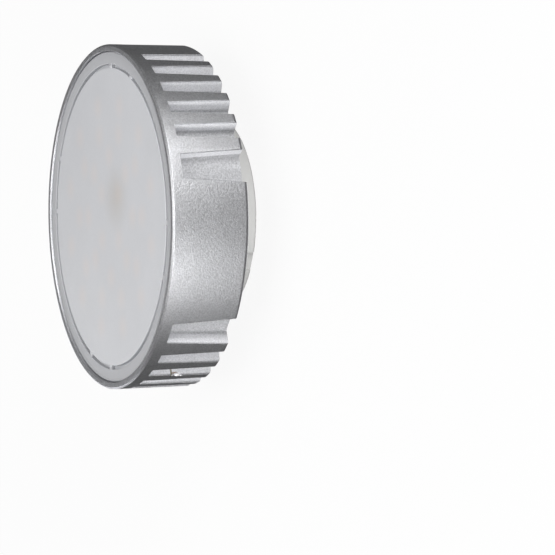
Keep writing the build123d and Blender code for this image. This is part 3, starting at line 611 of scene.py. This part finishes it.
def copies(tree, thing, groups, sides=1, count=1, first=0.0, pitch=0.0):
    """Copies of an object round the axis, as real geometry."""
    turns = put(tree, "GeometryNodeGroup", node_tree=bpy.data.node_groups["turns_round_axis"])
    for name, value in (("Groups", groups), ("Sides", sides), ("Count", count), ("First", first), ("Pitch", pitch)):
        feed(tree, turns.inputs[name], value)
    info = put(tree, "GeometryNodeObjectInfo", {"Object": thing})
    placed = put(tree, "GeometryNodeInstanceOnPoints", {
        "Points": turns.outputs["Points"], "Instance": info.outputs["Geometry"], "Rotation": turns.outputs["Turn"],
    })
    return put(tree, "GeometryNodeRealizeInstances", {0: placed.outputs[0]}).outputs[0]


def combine(tree, operation, first, *others):
    """Joins or cuts solids."""
    node = put(tree, "GeometryNodeMeshBoolean", operation=operation, solver="MANIFOLD")
    tree.links.new(first, node.inputs["Mesh 1" if operation == "DIFFERENCE" else "Mesh 2"])
    for other in others:
        tree.links.new(other, node.inputs["Mesh 2"])
    return node.outputs["Mesh"]


def solid_of(tree, thing):
    """Geometry of one object that stays where it is."""
    return put(tree, "GeometryNodeObjectInfo", {"Object": thing}).outputs["Geometry"]


def ended(tree, geometry, material, outputs):
    """Ends a tree: real geometry with its material."""
    real = put(tree, "GeometryNodeRealizeInstances", {0: geometry}).outputs[0]
    tree.links.new(put(tree, "GeometryNodeSetMaterial", {"Geometry": real, "Material": material}).outputs[0],
                   outputs["Geometry"])


def outer_radius(settings, z):
    """Radius of the drafted side at this height."""
    return LAMP_RADIUS - (FRONT_Z - settings.lip_chamfer - z) * tan(settings.draft)


def groove_width(settings, z, front, back):
    """Width of a groove at this height."""
    top = FRONT_Z - settings.front_band
    return front + (top - z) / (top - SHOULDER_Z) * (back - front)


def groove_cutter(settings, name, front, back):
    """Cutter of one groove on the +X side: a round along the floor and along the mouth."""
    top = FRONT_Z - settings.front_band
    floor_top = outer_radius(settings, top) - settings.depth_front
    floor_low = outer_radius(settings, SHOULDER_Z) - settings.depth_back
    sections = []
    for z in (SHOULDER_Z - GROOVE_OVER, top):
        floor = floor_top + (top - z) / (top - SHOULDER_Z) * (floor_low - floor_top)
        half = groove_width(settings, z, front, back) / 2
        side = sqrt(outer_radius(settings, z) ** 2 - half ** 2)
        low_half = half - (side - floor) * tan(settings.flare)
        corner = settings.mouth_round
        flare_out = half + corner + MOUTH_OVER / tan(MOUTH_FLARE)
        upper = arc_line([
            (floor, 0, 0), (floor, low_half, settings.floor_round), (side, half, corner),
            (side + MOUTH_OVER, flare_out, 0),
        ])[1:]
        line = [(p.x, -p.y) for p in reversed(upper)] + [(p.x, p.y) for p in upper]
        sections.append([(p[0], p[1], z) for p in line])
    return lofted_solid(name, sections)


def sink_levels(settings):
    """Heights and radii inside the heat sink that its neighbours give."""
    floor_top = outer_radius(settings, FRONT_Z - settings.front_band) - settings.depth_front
    recess = outer_radius(settings, SHOULDER_Z) - settings.depth_back - settings.wall
    return {
        "recess": recess, "cavity": recess - settings.seat, "chamber": floor_top - settings.front_wall,
        "bore": LAMP_RADIUS - settings.lip_width, "plate_z": TAG_LOW.z,
    }


def heat_sink_blank(settings, lens):
    """Turned blank of the heat sink."""
    at = sink_levels(settings)
    seat_z = LENS_HIGH.z - lens.thickness
    corner_z = SHOULDER_Z + settings.back_rise
    snap_z = BOARD_HIGH.z + (seat_z - BOARD_HIGH.z) / 3
    line = arc_line([
        (0, WEB_LOW_Z, 0),
        (at["cavity"], WEB_LOW_Z, FOOT_ROUND),
        (at["cavity"], at["plate_z"], 0),
        (at["recess"], at["plate_z"], 0),
        (at["recess"], SHOULDER_Z, STEP_ROUND),
        (outer_radius(settings, corner_z), corner_z, settings.back_round),
        (LAMP_RADIUS, FRONT_Z - settings.lip_chamfer, EDGE_ROUND),
        (LAMP_RADIUS - settings.lip_chamfer, FRONT_Z, EDGE_ROUND),
        (at["bore"], FRONT_Z, EDGE_ROUND),
        (at["bore"], seat_z, 0),
        (at["chamber"], seat_z, CORNER_ROUND),
        (at["chamber"], snap_z + SNAP_HEIGHT, 0),
        (at["chamber"] + SNAP_DEPTH, snap_z + SNAP_HEIGHT, 0),
        (at["chamber"] + SNAP_DEPTH, snap_z + SNAP_SLOPE_HIGH, 0),
        (at["chamber"], snap_z + SNAP_SLOPE_LOW, 0),
        (at["chamber"], WEB_HIGH_Z, FOOT_ROUND),
        (0, WEB_HIGH_Z, 0),
    ])
    return turned_solids("heat_sink_finish", [(line, MIDDLE)], AROUND)


def new_tree(name, things, values):
    """Geometry Nodes tree with these objects and values as inputs, besides its geometry and its material."""
    return new_group(
        name, "GeometryNodeTree",
        [("Geometry", SHAPE, None), *((thing, THING, None) for thing in things), *values, ("Material", MATERIAL, None)],
        [("Geometry", SHAPE)],
    )


def heat_sink_tree():
    """Heat sink: bosses joined to a blank, holes cut, grooves round both panels, then the worn spot."""
    scoops = ("Scoop 1", "Scoop 2", "Scoop 3")
    tree, inputs, outputs = new_tree(
        "heat_sink", ("Bosses", "Holes", "Narrow groove", "Wide groove", *scoops),
        [("Narrow count", NUMBER, 5), ("Narrow first", VALUE, 0.7), ("Narrow pitch", VALUE, 0.16),
         ("Wide first", VALUE, 0.5)],
    )
    body = combine(tree, "UNION", inputs["Geometry"], solid_of(tree, inputs["Bosses"]))
    body = combine(tree, "DIFFERENCE", body, solid_of(tree, inputs["Holes"]))
    narrow = copies(tree, inputs["Narrow groove"], 2, 2, inputs["Narrow count"], inputs["Narrow first"],
                    inputs["Narrow pitch"])
    wide = copies(tree, inputs["Wide groove"], 2, 2, 1, inputs["Wide first"])
    body = combine(tree, "DIFFERENCE", body, narrow)
    body = combine(tree, "DIFFERENCE", body, wide)
    for name in scoops:
        body = combine(tree, "DIFFERENCE", body, solid_of(tree, inputs[name]))
    ended(tree, body, inputs["Material"], outputs)
    return tree


def plug(radius, low, high):
    """Line of a round plug, for turning."""
    return [(0, low), (radius, low), (radius, high), (0, high)]


class LAMP_OT_heat_sink(bpy.types.Operator):
    """Build the finned heat sink"""

    bl_idname = "lamp.heat_sink"
    bl_label = "Heat sink"

    def execute(self, context):
        settings, lens = context.scene.lamp_sink, context.scene.lamp_lens
        blank = heat_sink_blank(settings, lens)
        above, below = WEB_HIGH_Z + CUT_OVER, WEB_LOW_Z - CUT_OVER
        base_low, base_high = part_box("base_screws")
        reach = polar(BOARD_SCREW_REACH, BOARD_TURN + 90)
        base_reach = Vector(((base_high.x - base_low.x) / 2 - SCREW_HEAD_RADIUS, 0, 0))
        boss = plug(BOSS_RADIUS, WEB_LOW_Z - BOSS_HEIGHT, WEB_LOW_Z + CUT_OVER)
        pilot = plug(PILOT_RADIUS, WEB_LOW_Z - PILOT_DEPTH, above)
        lead_hole = plug(LEAD_HOLE_RADIUS, below, above)
        head = SCREW_HEAD_RADIUS + SCREW_HEAD_GAP
        sunk = [(0, below), (SCREW_HOLE_RADIUS, below), (SCREW_HOLE_RADIUS, WEB_HIGH_Z - head + SCREW_HOLE_RADIUS),
                (head + CUT_OVER, above), (0, above)]
        bosses = turned_solids("bosses", [(boss, reach), (boss, -reach)])
        holes = turned_solids("holes", [
            (pilot, reach), (pilot, -reach), (lead_hole, polar(LEAD_REACH, BOARD_TURN + 90)),
            (sunk, base_reach), (sunk, -base_reach),
        ])
        scoops = []
        for centre, radius in chip_places(settings):
            ball = [(radius * sin(pi * k / 12), centre.z - radius * cos(pi * k / 12)) for k in range(12)]
            scoops.append(turned_solids("scoop", [(ball + [(0, centre.z + radius)], centre)], 24))
        narrow = groove_cutter(settings, "narrow_groove", settings.narrow_front, settings.narrow_back)
        wide = groove_cutter(settings, "wide_groove", settings.wide_front, settings.wide_back)
        grow(
            blank, heat_sink_tree(), (bosses, holes, narrow, wide, *scoops),
            Bosses=bosses, Holes=holes, Narrow_groove=narrow, Wide_groove=wide,
            Narrow_count=settings.narrow_count, Narrow_first=settings.narrow_first,
            Narrow_pitch=settings.narrow_pitch, Wide_first=settings.wide_first,
            Scoop_1=scoops[0], Scoop_2=scoops[1], Scoop_3=scoops[2], Material=sprayed_aluminium(settings),
        )
        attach(blank, "root")
        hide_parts("heat_sink")
        return {"FINISHED"}


def diffuser_tree():
    """Front plate: a turned plate with bridges over its ring groove and snap hooks below."""
    tree, inputs, outputs = new_tree(
        "diffuser", ("Bridge", "Hook"), [("Groups", NUMBER, 4), ("Bridge angle", VALUE, 0.18)])
    bridges = copies(tree, inputs["Bridge"], inputs["Groups"], 2, 1, inputs["Bridge angle"])
    hooks = copies(tree, inputs["Hook"], inputs["Groups"])
    body = combine(tree, "UNION", inputs["Geometry"], bridges, hooks)
    ended(tree, body, inputs["Material"], outputs)
    return tree


class LAMP_OT_diffuser(bpy.types.Operator):
    """Build the frosted front plate"""

    bl_idname = "lamp.diffuser"
    bl_label = "Diffuser"

    def execute(self, context):
        settings = context.scene.lamp_lens
        top, seat = LENS_HIGH.z, LENS_HIGH.z - settings.thickness
        rim, half = LENS_HIGH.x, settings.ring_width / 2
        inner, outer = settings.ring_radius - half, settings.ring_radius + half
        line = arc_line([
            (0, seat, 0), (rim, seat, CORNER_ROUND), (rim, top - settings.edge, CORNER_ROUND),
            (rim - settings.edge, top, CORNER_ROUND), (outer, top, EDGE_ROUND),
            (outer, top - settings.ring_depth, CORNER_ROUND), (inner, top - settings.ring_depth, CORNER_ROUND),
            (inner, top, EDGE_ROUND), (0, top, 0),
        ])
        plate = turned_solids("diffuser_finish", [(line, MIDDLE)], AROUND)
        wide = settings.bridge_width / 2
        bridge_top = top - BRIDGE_DROP
        low = top - settings.ring_depth - BRIDGE_ROOT
        section = arc_line([(0, low, 0), (wide, low, 0), (wide, bridge_top, EDGE_ROUND), (0, bridge_top, 0)])[1:-1]
        section = [(-p.x, p.y) for p in reversed(section)] + [(p.x, p.y) for p in section]
        ends = (inner - ROOT, outer + ROOT)
        bridge = lofted_solid("bridge", [[(x, p[0], p[1]) for p in section] for x in ends])
        at = sink_levels(context.scene.lamp_sink)
        hook_outer = at["chamber"] - HOOK_GAP
        hook_inner, tip, root_z = hook_outer - HOOK_THICKNESS, hook_outer + BARB, seat + ROOT
        barb_z = BOARD_HIGH.z + (seat - BOARD_HIGH.z) / 3 + BARB_RISE
        profile = [(hook_inner, root_z), (hook_inner, LENS_LOW.z), (hook_outer, LENS_LOW.z), (tip, barb_z),
                   (tip, barb_z + BARB), (hook_outer, barb_z + 2 * BARB), (hook_outer, root_z)]
        turns = [settings.hook_arc * (k / 12 - 0.5) for k in range(13)]
        hook = lofted_solid("hook", [[(r * cos(a), r * sin(a), z) for r, z in profile] for a in turns])
        grow(plate, diffuser_tree(), (bridge, hook), Bridge=bridge, Hook=hook, Groups=4,
             Bridge_angle=settings.bridge_angle, Material=frosted_plastic(settings))
        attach(plate, "root")
        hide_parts("diffuser")
        return {"FINISHED"}


def pins_tree():
    """Contact pins: one turned pin copied to both places."""
    tree, inputs, outputs = new_tree("contact_pins", ("Pin",), [("Count", NUMBER, 2)])
    ended(tree, copies(tree, inputs["Pin"], inputs["Count"]), inputs["Material"], outputs)
    return tree


class LAMP_OT_pins(bpy.types.Operator):
    """Build the two contact pins"""

    bl_idname = "lamp.pins"
    bl_label = "Contact pins"

    def execute(self, context):
        settings = context.scene.lamp_pins
        low, plate = PIN_LOW.z, SHOULDER_Z
        head, neck = settings.head_radius, settings.neck_radius
        head_z = low + settings.head_height
        line = arc_line([
            (0, low, 0), (head - HEAD_SLOPE, low, HEAD_ROUND), (head, low + HEAD_RISE, HEAD_ROUND),
            (head, head_z, STEP_ROUND), (neck, head_z + NECK_RISE, NECK_ROUND),
            (neck, plate - settings.flange, STEP_ROUND), (PIN_HIGH.x, plate - settings.flange, EDGE_ROUND),
            (PIN_HIGH.x, plate, 0), (settings.shank_radius, plate, 0), (settings.shank_radius, TAG_HIGH.z, 0),
            (settings.rivet_radius, TAG_HIGH.z, 0), (RIVET_END, PIN_HIGH.z, RIVET_ROUND), (0, PIN_HIGH.z, 0),
        ])
        pin = turned_solids("pin", [(line, Vector((0, PIN_PLACE, 0)))], 96)
        pins = new_object("contact_pins_finish", bpy.data.meshes.new("contact_pins_finish"))
        grow(pins, pins_tree(), (pin,), Pin=pin, Count=2, Material=brass(settings))
        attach(pins, "root")
        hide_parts("contact_pin_a", "contact_pin_b")
        return {"FINISHED"}


def finish(material, *nodes):
    """Gives a material to the frame's own nodes."""
    for name in nodes:
        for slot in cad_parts[name].material_slots:
            slot.material = material


class LAMP_OT_base(bpy.types.Operator):
    """Finish the white base, its tags and its screws"""

    bl_idname = "lamp.base"
    bl_label = "Base"

    def execute(self, context):
        base = tuple(context.scene.lamp_finish.base_colour)
        finish(plain_finish("white_plastic", base), "base_housing")
        finish(plain_finish("tinned_tag"), "pin_tag_a", "pin_tag_b")
        finish(plain_finish("zinc_screw"), "board_screws", "base_screws")
        return {"FINISHED"}


class LAMP_OT_light_board(bpy.types.Operator):
    """Finish the light-emitting board, its packages, its pad and its leads"""

    bl_idname = "lamp.light_board"
    bl_label = "Light-emitting board"

    def execute(self, context):
        settings = context.scene.lamp_finish
        finish(plain_finish("thermal_pad"), "thermal_pad")
        finish(plain_finish("grommet_rubber"), "wire_grommet")
        finish(plain_finish("red_insulation"), "led_wire_positive")
        finish(plain_finish("black_insulation"), "led_wire_negative")
        finish(white_board(settings), "led_board")
        finish(led_package(settings), "led_ring_1", "led_ring_2", "led_ring_3", "led_ring_4")
        return {"FINISHED"}


def white_board(settings):
    """White solder mask with faint tracks and an aluminium edge."""
    material, tree, grain = new_material("white_board", 0.2, 7)
    base = tuple(settings.board_colour)
    z = position(tree)[2]
    metal = spread(tree, z, BOARD_HIGH.z - 0.16 * MM, BOARD_HIGH.z - 0.12 * MM, 1.0, 0.0, "LINEAR")
    body = blend(tree, grain["Broad"], shade(base, 0.96), base)
    tracks = spread(tree, package_spots(tree, TRACK_SPOT), 0.05, 0.12)
    body = blend(tree, tracks, body, shade(base, 0.86), 0.3)
    body = blend(tree, metal, body, (0.55, 0.56, 0.58))
    return connect(material, grain, 0.004, (0.30, 0.42), body, Metallic=metal)


def led_package(settings):
    """White package with a phosphor window sunk in its top."""
    material, tree, grain = new_material("led_package", 0.12, 1.5)
    sunk = calc(tree, "LESS_THAN", position(tree)[2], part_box("led_ring_1")[1].z - 0.15 * MM)
    window = calc(tree, "MULTIPLY", spread(tree, facing_up(tree), 0.8, 0.95), sunk)
    body = blend(tree, grain["Broad"], (0.80, 0.79, 0.76), (0.88, 0.87, 0.84))
    body = blend(tree, window, body, tuple(settings.glow_colour))
    return connect(material, grain, 0.004, (0.28, 0.40), body)


# Weave of the board, width of a turn of tape with its edge, and a resistor's bands by share of its length, in metres
WEAVE, TAPE_TURN, TAPE_EDGE = 0.6 * MM, 0.35 * MM, 0.06 * MM
BAND = (0.30 * MM, 0.36 * MM)
BANDS = ((0.18, (0.20, 0.05, 0.02)), (0.36, (0.01, 0.01, 0.01)), (0.50, (0.30, 0.02, 0.01)), (0.80, (0.45, 0.28, 0.05)))


def fibre_board():
    """Green solder mask over a woven glass board."""
    material, tree, grain = new_material("fibre_board", 0.2, 6)
    weave = 0.0
    for across in position(tree)[:2]:
        wave = calc(tree, "SINE", calc(tree, "MULTIPLY", across, 2 * pi / WEAVE))
        weave = calc(tree, "MULTIPLY_ADD", wave, 0.25, weave)
    body = blend(tree, grain["Broad"], (0.008, 0.075, 0.022), (0.014, 0.12, 0.035))
    body = blend(tree, spread(tree, weave, 0.0, 0.5, 0.0, 0.35), body, (0.03, 0.17, 0.06))
    return connect(material, grain, 0.004, (0.30, 0.42), body, calc(tree, "ADD", grain["Height"], weave))


def yellow_tape():
    """Polyester tape wound in overlapping turns."""
    material, tree, grain = new_material("yellow_tape", 0.3, 3)
    layer = calc(tree, "PINGPONG", position(tree)[2], TAPE_TURN)
    edge = spread(tree, layer, 0.0, TAPE_EDGE, 1.0, 0.0)
    body = blend(tree, grain["Broad"], (0.55, 0.34, 0.02), (0.66, 0.43, 0.03))
    body = blend(tree, edge, body, (0.34, 0.19, 0.01), 0.5)
    height = calc(tree, "MULTIPLY_ADD", edge, -0.8, grain["Height"])
    return connect(material, grain, 0.01, (0.20, 0.32), body, height)


def capacitor_sleeve():
    """Dark shrink sleeve with a bare aluminium top."""
    material, tree, grain = new_material("capacitor_sleeve", 0.25, 3)
    bare = spread(tree, facing_up(tree), 0.75, 0.85)
    body = blend(tree, grain["Broad"], (0.012, 0.016, 0.04), (0.02, 0.026, 0.06))
    body = blend(tree, bare, body, (0.62, 0.63, 0.64))
    return connect(material, grain, 0.004, (0.24, 0.36), body, Metallic=bare)


def resistor_body():
    """Lacquered resistor with four plain bands."""
    material, tree, grain = new_material("resistor_body", 0.15, 2)
    low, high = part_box("fuse_resistor")
    x = position(tree)[0]
    body = blend(tree, grain["Broad"], (0.10, 0.22, 0.30), (0.13, 0.27, 0.36))
    span = high.x - low.x
    for share, tint in BANDS:
        off = calc(tree, "ABSOLUTE", calc(tree, "SUBTRACT", x, low.x + share * span))
        body = blend(tree, spread(tree, off, *BAND, 1.0, 0.0), body, tint)
    return connect(material, grain, 0.004, (0.26, 0.38), body)


class LAMP_OT_driver(bpy.types.Operator):
    """Finish the driver board and its parts"""

    bl_idname = "lamp.driver"
    bl_label = "Driver"

    def execute(self, context):
        finish(fibre_board(), "driver_board")
        finish(plain_finish("amber_film"), "insulating_sheet")
        finish(plain_finish("ferrite"), "transformer_core")
        finish(plain_finish("black_moulding"), "transformer_bobbin", "bridge_rectifier", "driver_chip", "output_diode")
        finish(yellow_tape(), "transformer_winding")
        finish(capacitor_sleeve(), "input_capacitor", "output_capacitor")
        finish(plain_finish("film_capacitor_case"), "film_capacitor")
        finish(resistor_body(), "fuse_resistor")
        finish(plain_finish("white_insulation"), "mains_wire_a", "mains_wire_b")
        return {"FINISHED"}


# Width of the camera's sensor in millimetres, nearest and farthest seen, and half the floor's width in metres
SENSOR_WIDTH = 36.0
CLIP_START, CLIP_END, FLOOR_REACH = 0.01, 20, 3.0
# Share of the floor that the camera sees as plain white
PLAIN_FLOOR = 0.9


def aim_camera(settings):
    """Place and turn of the camera at the photograph's angle."""
    turn, roll = settings.azimuth, settings.roll
    back = direction(turn, settings.elevation)
    upright = Vector((-sin(turn), cos(turn), 0))
    focal = settings.lens / SENSOR_WIDTH * settings.picture
    # Right and up of a camera that looks straight at the front's middle, then with its roll
    right = (-back).cross(upright)
    up = right.cross(-back)
    right, up = cos(roll) * right + sin(roll) * up, cos(roll) * up - sin(roll) * right
    # Turned so that the front's middle falls on its own pixel
    half = settings.picture / 2
    shift_x = (settings.centre_across - half) / focal
    shift_y = (half - settings.centre_down) / focal
    forward = (-back - shift_x * right - shift_y * up).normalized()
    right = (right - right.dot(forward) * forward).normalized()
    up = right.cross(forward)
    basis = Matrix((right, up, -forward)).transposed().to_4x4()
    basis.translation = Vector((0, 0, FRONT_Z)) + settings.distance * back
    return basis


# Soft boxes: name, turn and height angle in degrees, distance, width and height in metres, power in watts
SOFTBOXES = (
    ("key", 50.0, 7.0, 0.9, 0.34, 0.20, 5.3),
    ("side", -22.0, 7.0, 0.9, 0.34, 0.20, 4.6),
    ("front", 12.0, 52.0, 1.0, 0.60, 0.60, 3.1),
    ("top", 195.0, 82.0, 1.0, 0.60, 0.60, 2.6),
    ("back", 215.0, 8.0, 0.9, 0.60, 0.20, 2.4),
)


def softbox(name, turn, height, distance, width, tall, power):
    """Area light that looks at the lamp's middle from this direction."""
    light = bpy.data.lights.new(name, "AREA")
    light.shape = "RECTANGLE"
    light.size, light.size_y, light.energy = width, tall, power
    obj = new_object(name, light)
    away = direction(radians(turn), radians(height))
    basis = away.to_track_quat("Z", "Y").to_matrix().to_4x4()
    basis.translation = Vector((0, 0, FRONT_Z / 2)) + distance * away
    obj.matrix_world = basis


def by_ray(tree, camera, gloss, other):
    """One value for camera rays, one for glossy and transmission rays and one for all others."""
    rays = put(tree, "ShaderNodeLightPath").outputs
    shown = calc(tree, "MAXIMUM", rays["Is Glossy Ray"], rays["Is Transmission Ray"])
    rest = spread(tree, shown, 0.0, 1.0, other, gloss, "LINEAR")
    return calc(tree, "MULTIPLY_ADD", calc(tree, "SUBTRACT", camera, rest), rays["Is Camera Ray"], rest)


class LAMP_OT_stage(bpy.types.Operator):
    """Add the camera, the lights, the floor and the room"""

    bl_idname = "lamp.stage"
    bl_label = "Stage"

    def execute(self, context):
        settings = context.scene.lamp_stage
        camera = new_object("camera", bpy.data.cameras.new("camera"))
        camera.data.lens = settings.lens
        camera.data.clip_start, camera.data.clip_end = CLIP_START, CLIP_END
        camera.matrix_world = aim_camera(settings)
        context.scene.camera = camera
        for box in SOFTBOXES:
            softbox(*box)
        world = bpy.data.worlds.new("room")
        world.use_nodes = True
        context.scene.world = world
        tree = world.node_tree
        background = tree.nodes["Background"]
        background.inputs["Color"].default_value = (1, 1, 1, 1)
        tree.links.new(by_ray(tree, 1.0, settings.mirrored, settings.fill), background.inputs["Strength"])
        bm = bmesh.new()
        bmesh.ops.create_grid(bm, x_segments=8, y_segments=8, size=FLOOR_REACH)
        floor = new_object("floor", mesh_from("floor", bm))
        material, tree, grain = new_material("floor", 2, 60)
        base = tuple(settings.floor_colour)
        pale = blend(tree, grain["Broad"], shade(base, 0.98), base)
        seen = blend(tree, by_ray(tree, 1.0, settings.mirrored, settings.bounce), (0, 0, 0), pale)
        connect(material, grain, 0.01, (0.9, 0.9), seen, Specular_IOR_Level=0.0)
        dull = tree.nodes["Principled BSDF"].outputs[0]
        white = put(tree, "ShaderNodeEmission", {"Color": (1, 1, 1, 1), "Strength": 1.0})
        share = by_ray(tree, PLAIN_FLOOR, settings.mirrored / 2, 0.0)
        mixed = put(tree, "ShaderNodeMixShader", {0: share, 1: dull, 2: white.outputs[0]})
        tree.links.new(mixed.outputs[0], tree.nodes["Material Output"].inputs["Surface"])
        floor.data.materials.append(material)
        context.scene.view_settings.view_transform = "Standard"
        return {"FINISHED"}


class LAMP_PT_lamp(bpy.types.Panel):
    """Parts of the lamp"""

    bl_idname = "LAMP_PT_lamp"
    bl_label = "LED disc lamp"
    bl_space_type = "VIEW_3D"
    bl_region_type = "UI"
    bl_category = "Lamp"

    def draw(self, context):
        for operator in OPERATORS:
            self.layout.operator(operator.bl_idname)
        for name in SETTINGS:
            box = self.layout.box()
            settings = getattr(context.scene, name)
            box.label(text=settings.bl_rna.description)
            for prop in settings.bl_rna.properties:
                if prop.identifier not in {"rna_type", "name"}:
                    box.prop(settings, prop.identifier)


OPERATORS = (LAMP_OT_heat_sink, LAMP_OT_diffuser, LAMP_OT_pins, LAMP_OT_base, LAMP_OT_light_board,
             LAMP_OT_driver, LAMP_OT_stage)
SETTINGS = {
    "lamp_sink": HeatSinkSettings, "lamp_lens": DiffuserSettings, "lamp_pins": PinSettings,
    "lamp_finish": FinishSettings, "lamp_stage": StageSettings,
}
CLASSES = (*SETTINGS.values(), *OPERATORS, LAMP_PT_lamp)


def register():
    for cls in CLASSES:
        bpy.utils.register_class(cls)
    for name, group in SETTINGS.items():
        setattr(bpy.types.Scene, name, PointerProperty(type=group))


def unregister():
    for name in SETTINGS:
        delattr(bpy.types.Scene, name)
    for cls in reversed(CLASSES):
        bpy.utils.unregister_class(cls)


def main():
    register()
    for build in (grain_group, spot_group, ring_spots_group, turns_group):
        build()
    bpy.ops.lamp.heat_sink()
    bpy.ops.lamp.diffuser()
    bpy.ops.lamp.pins()
    bpy.ops.lamp.base()
    bpy.ops.lamp.light_board()
    bpy.ops.lamp.driver()
    bpy.ops.lamp.stage()


if __name__ == "__main__":
    main()
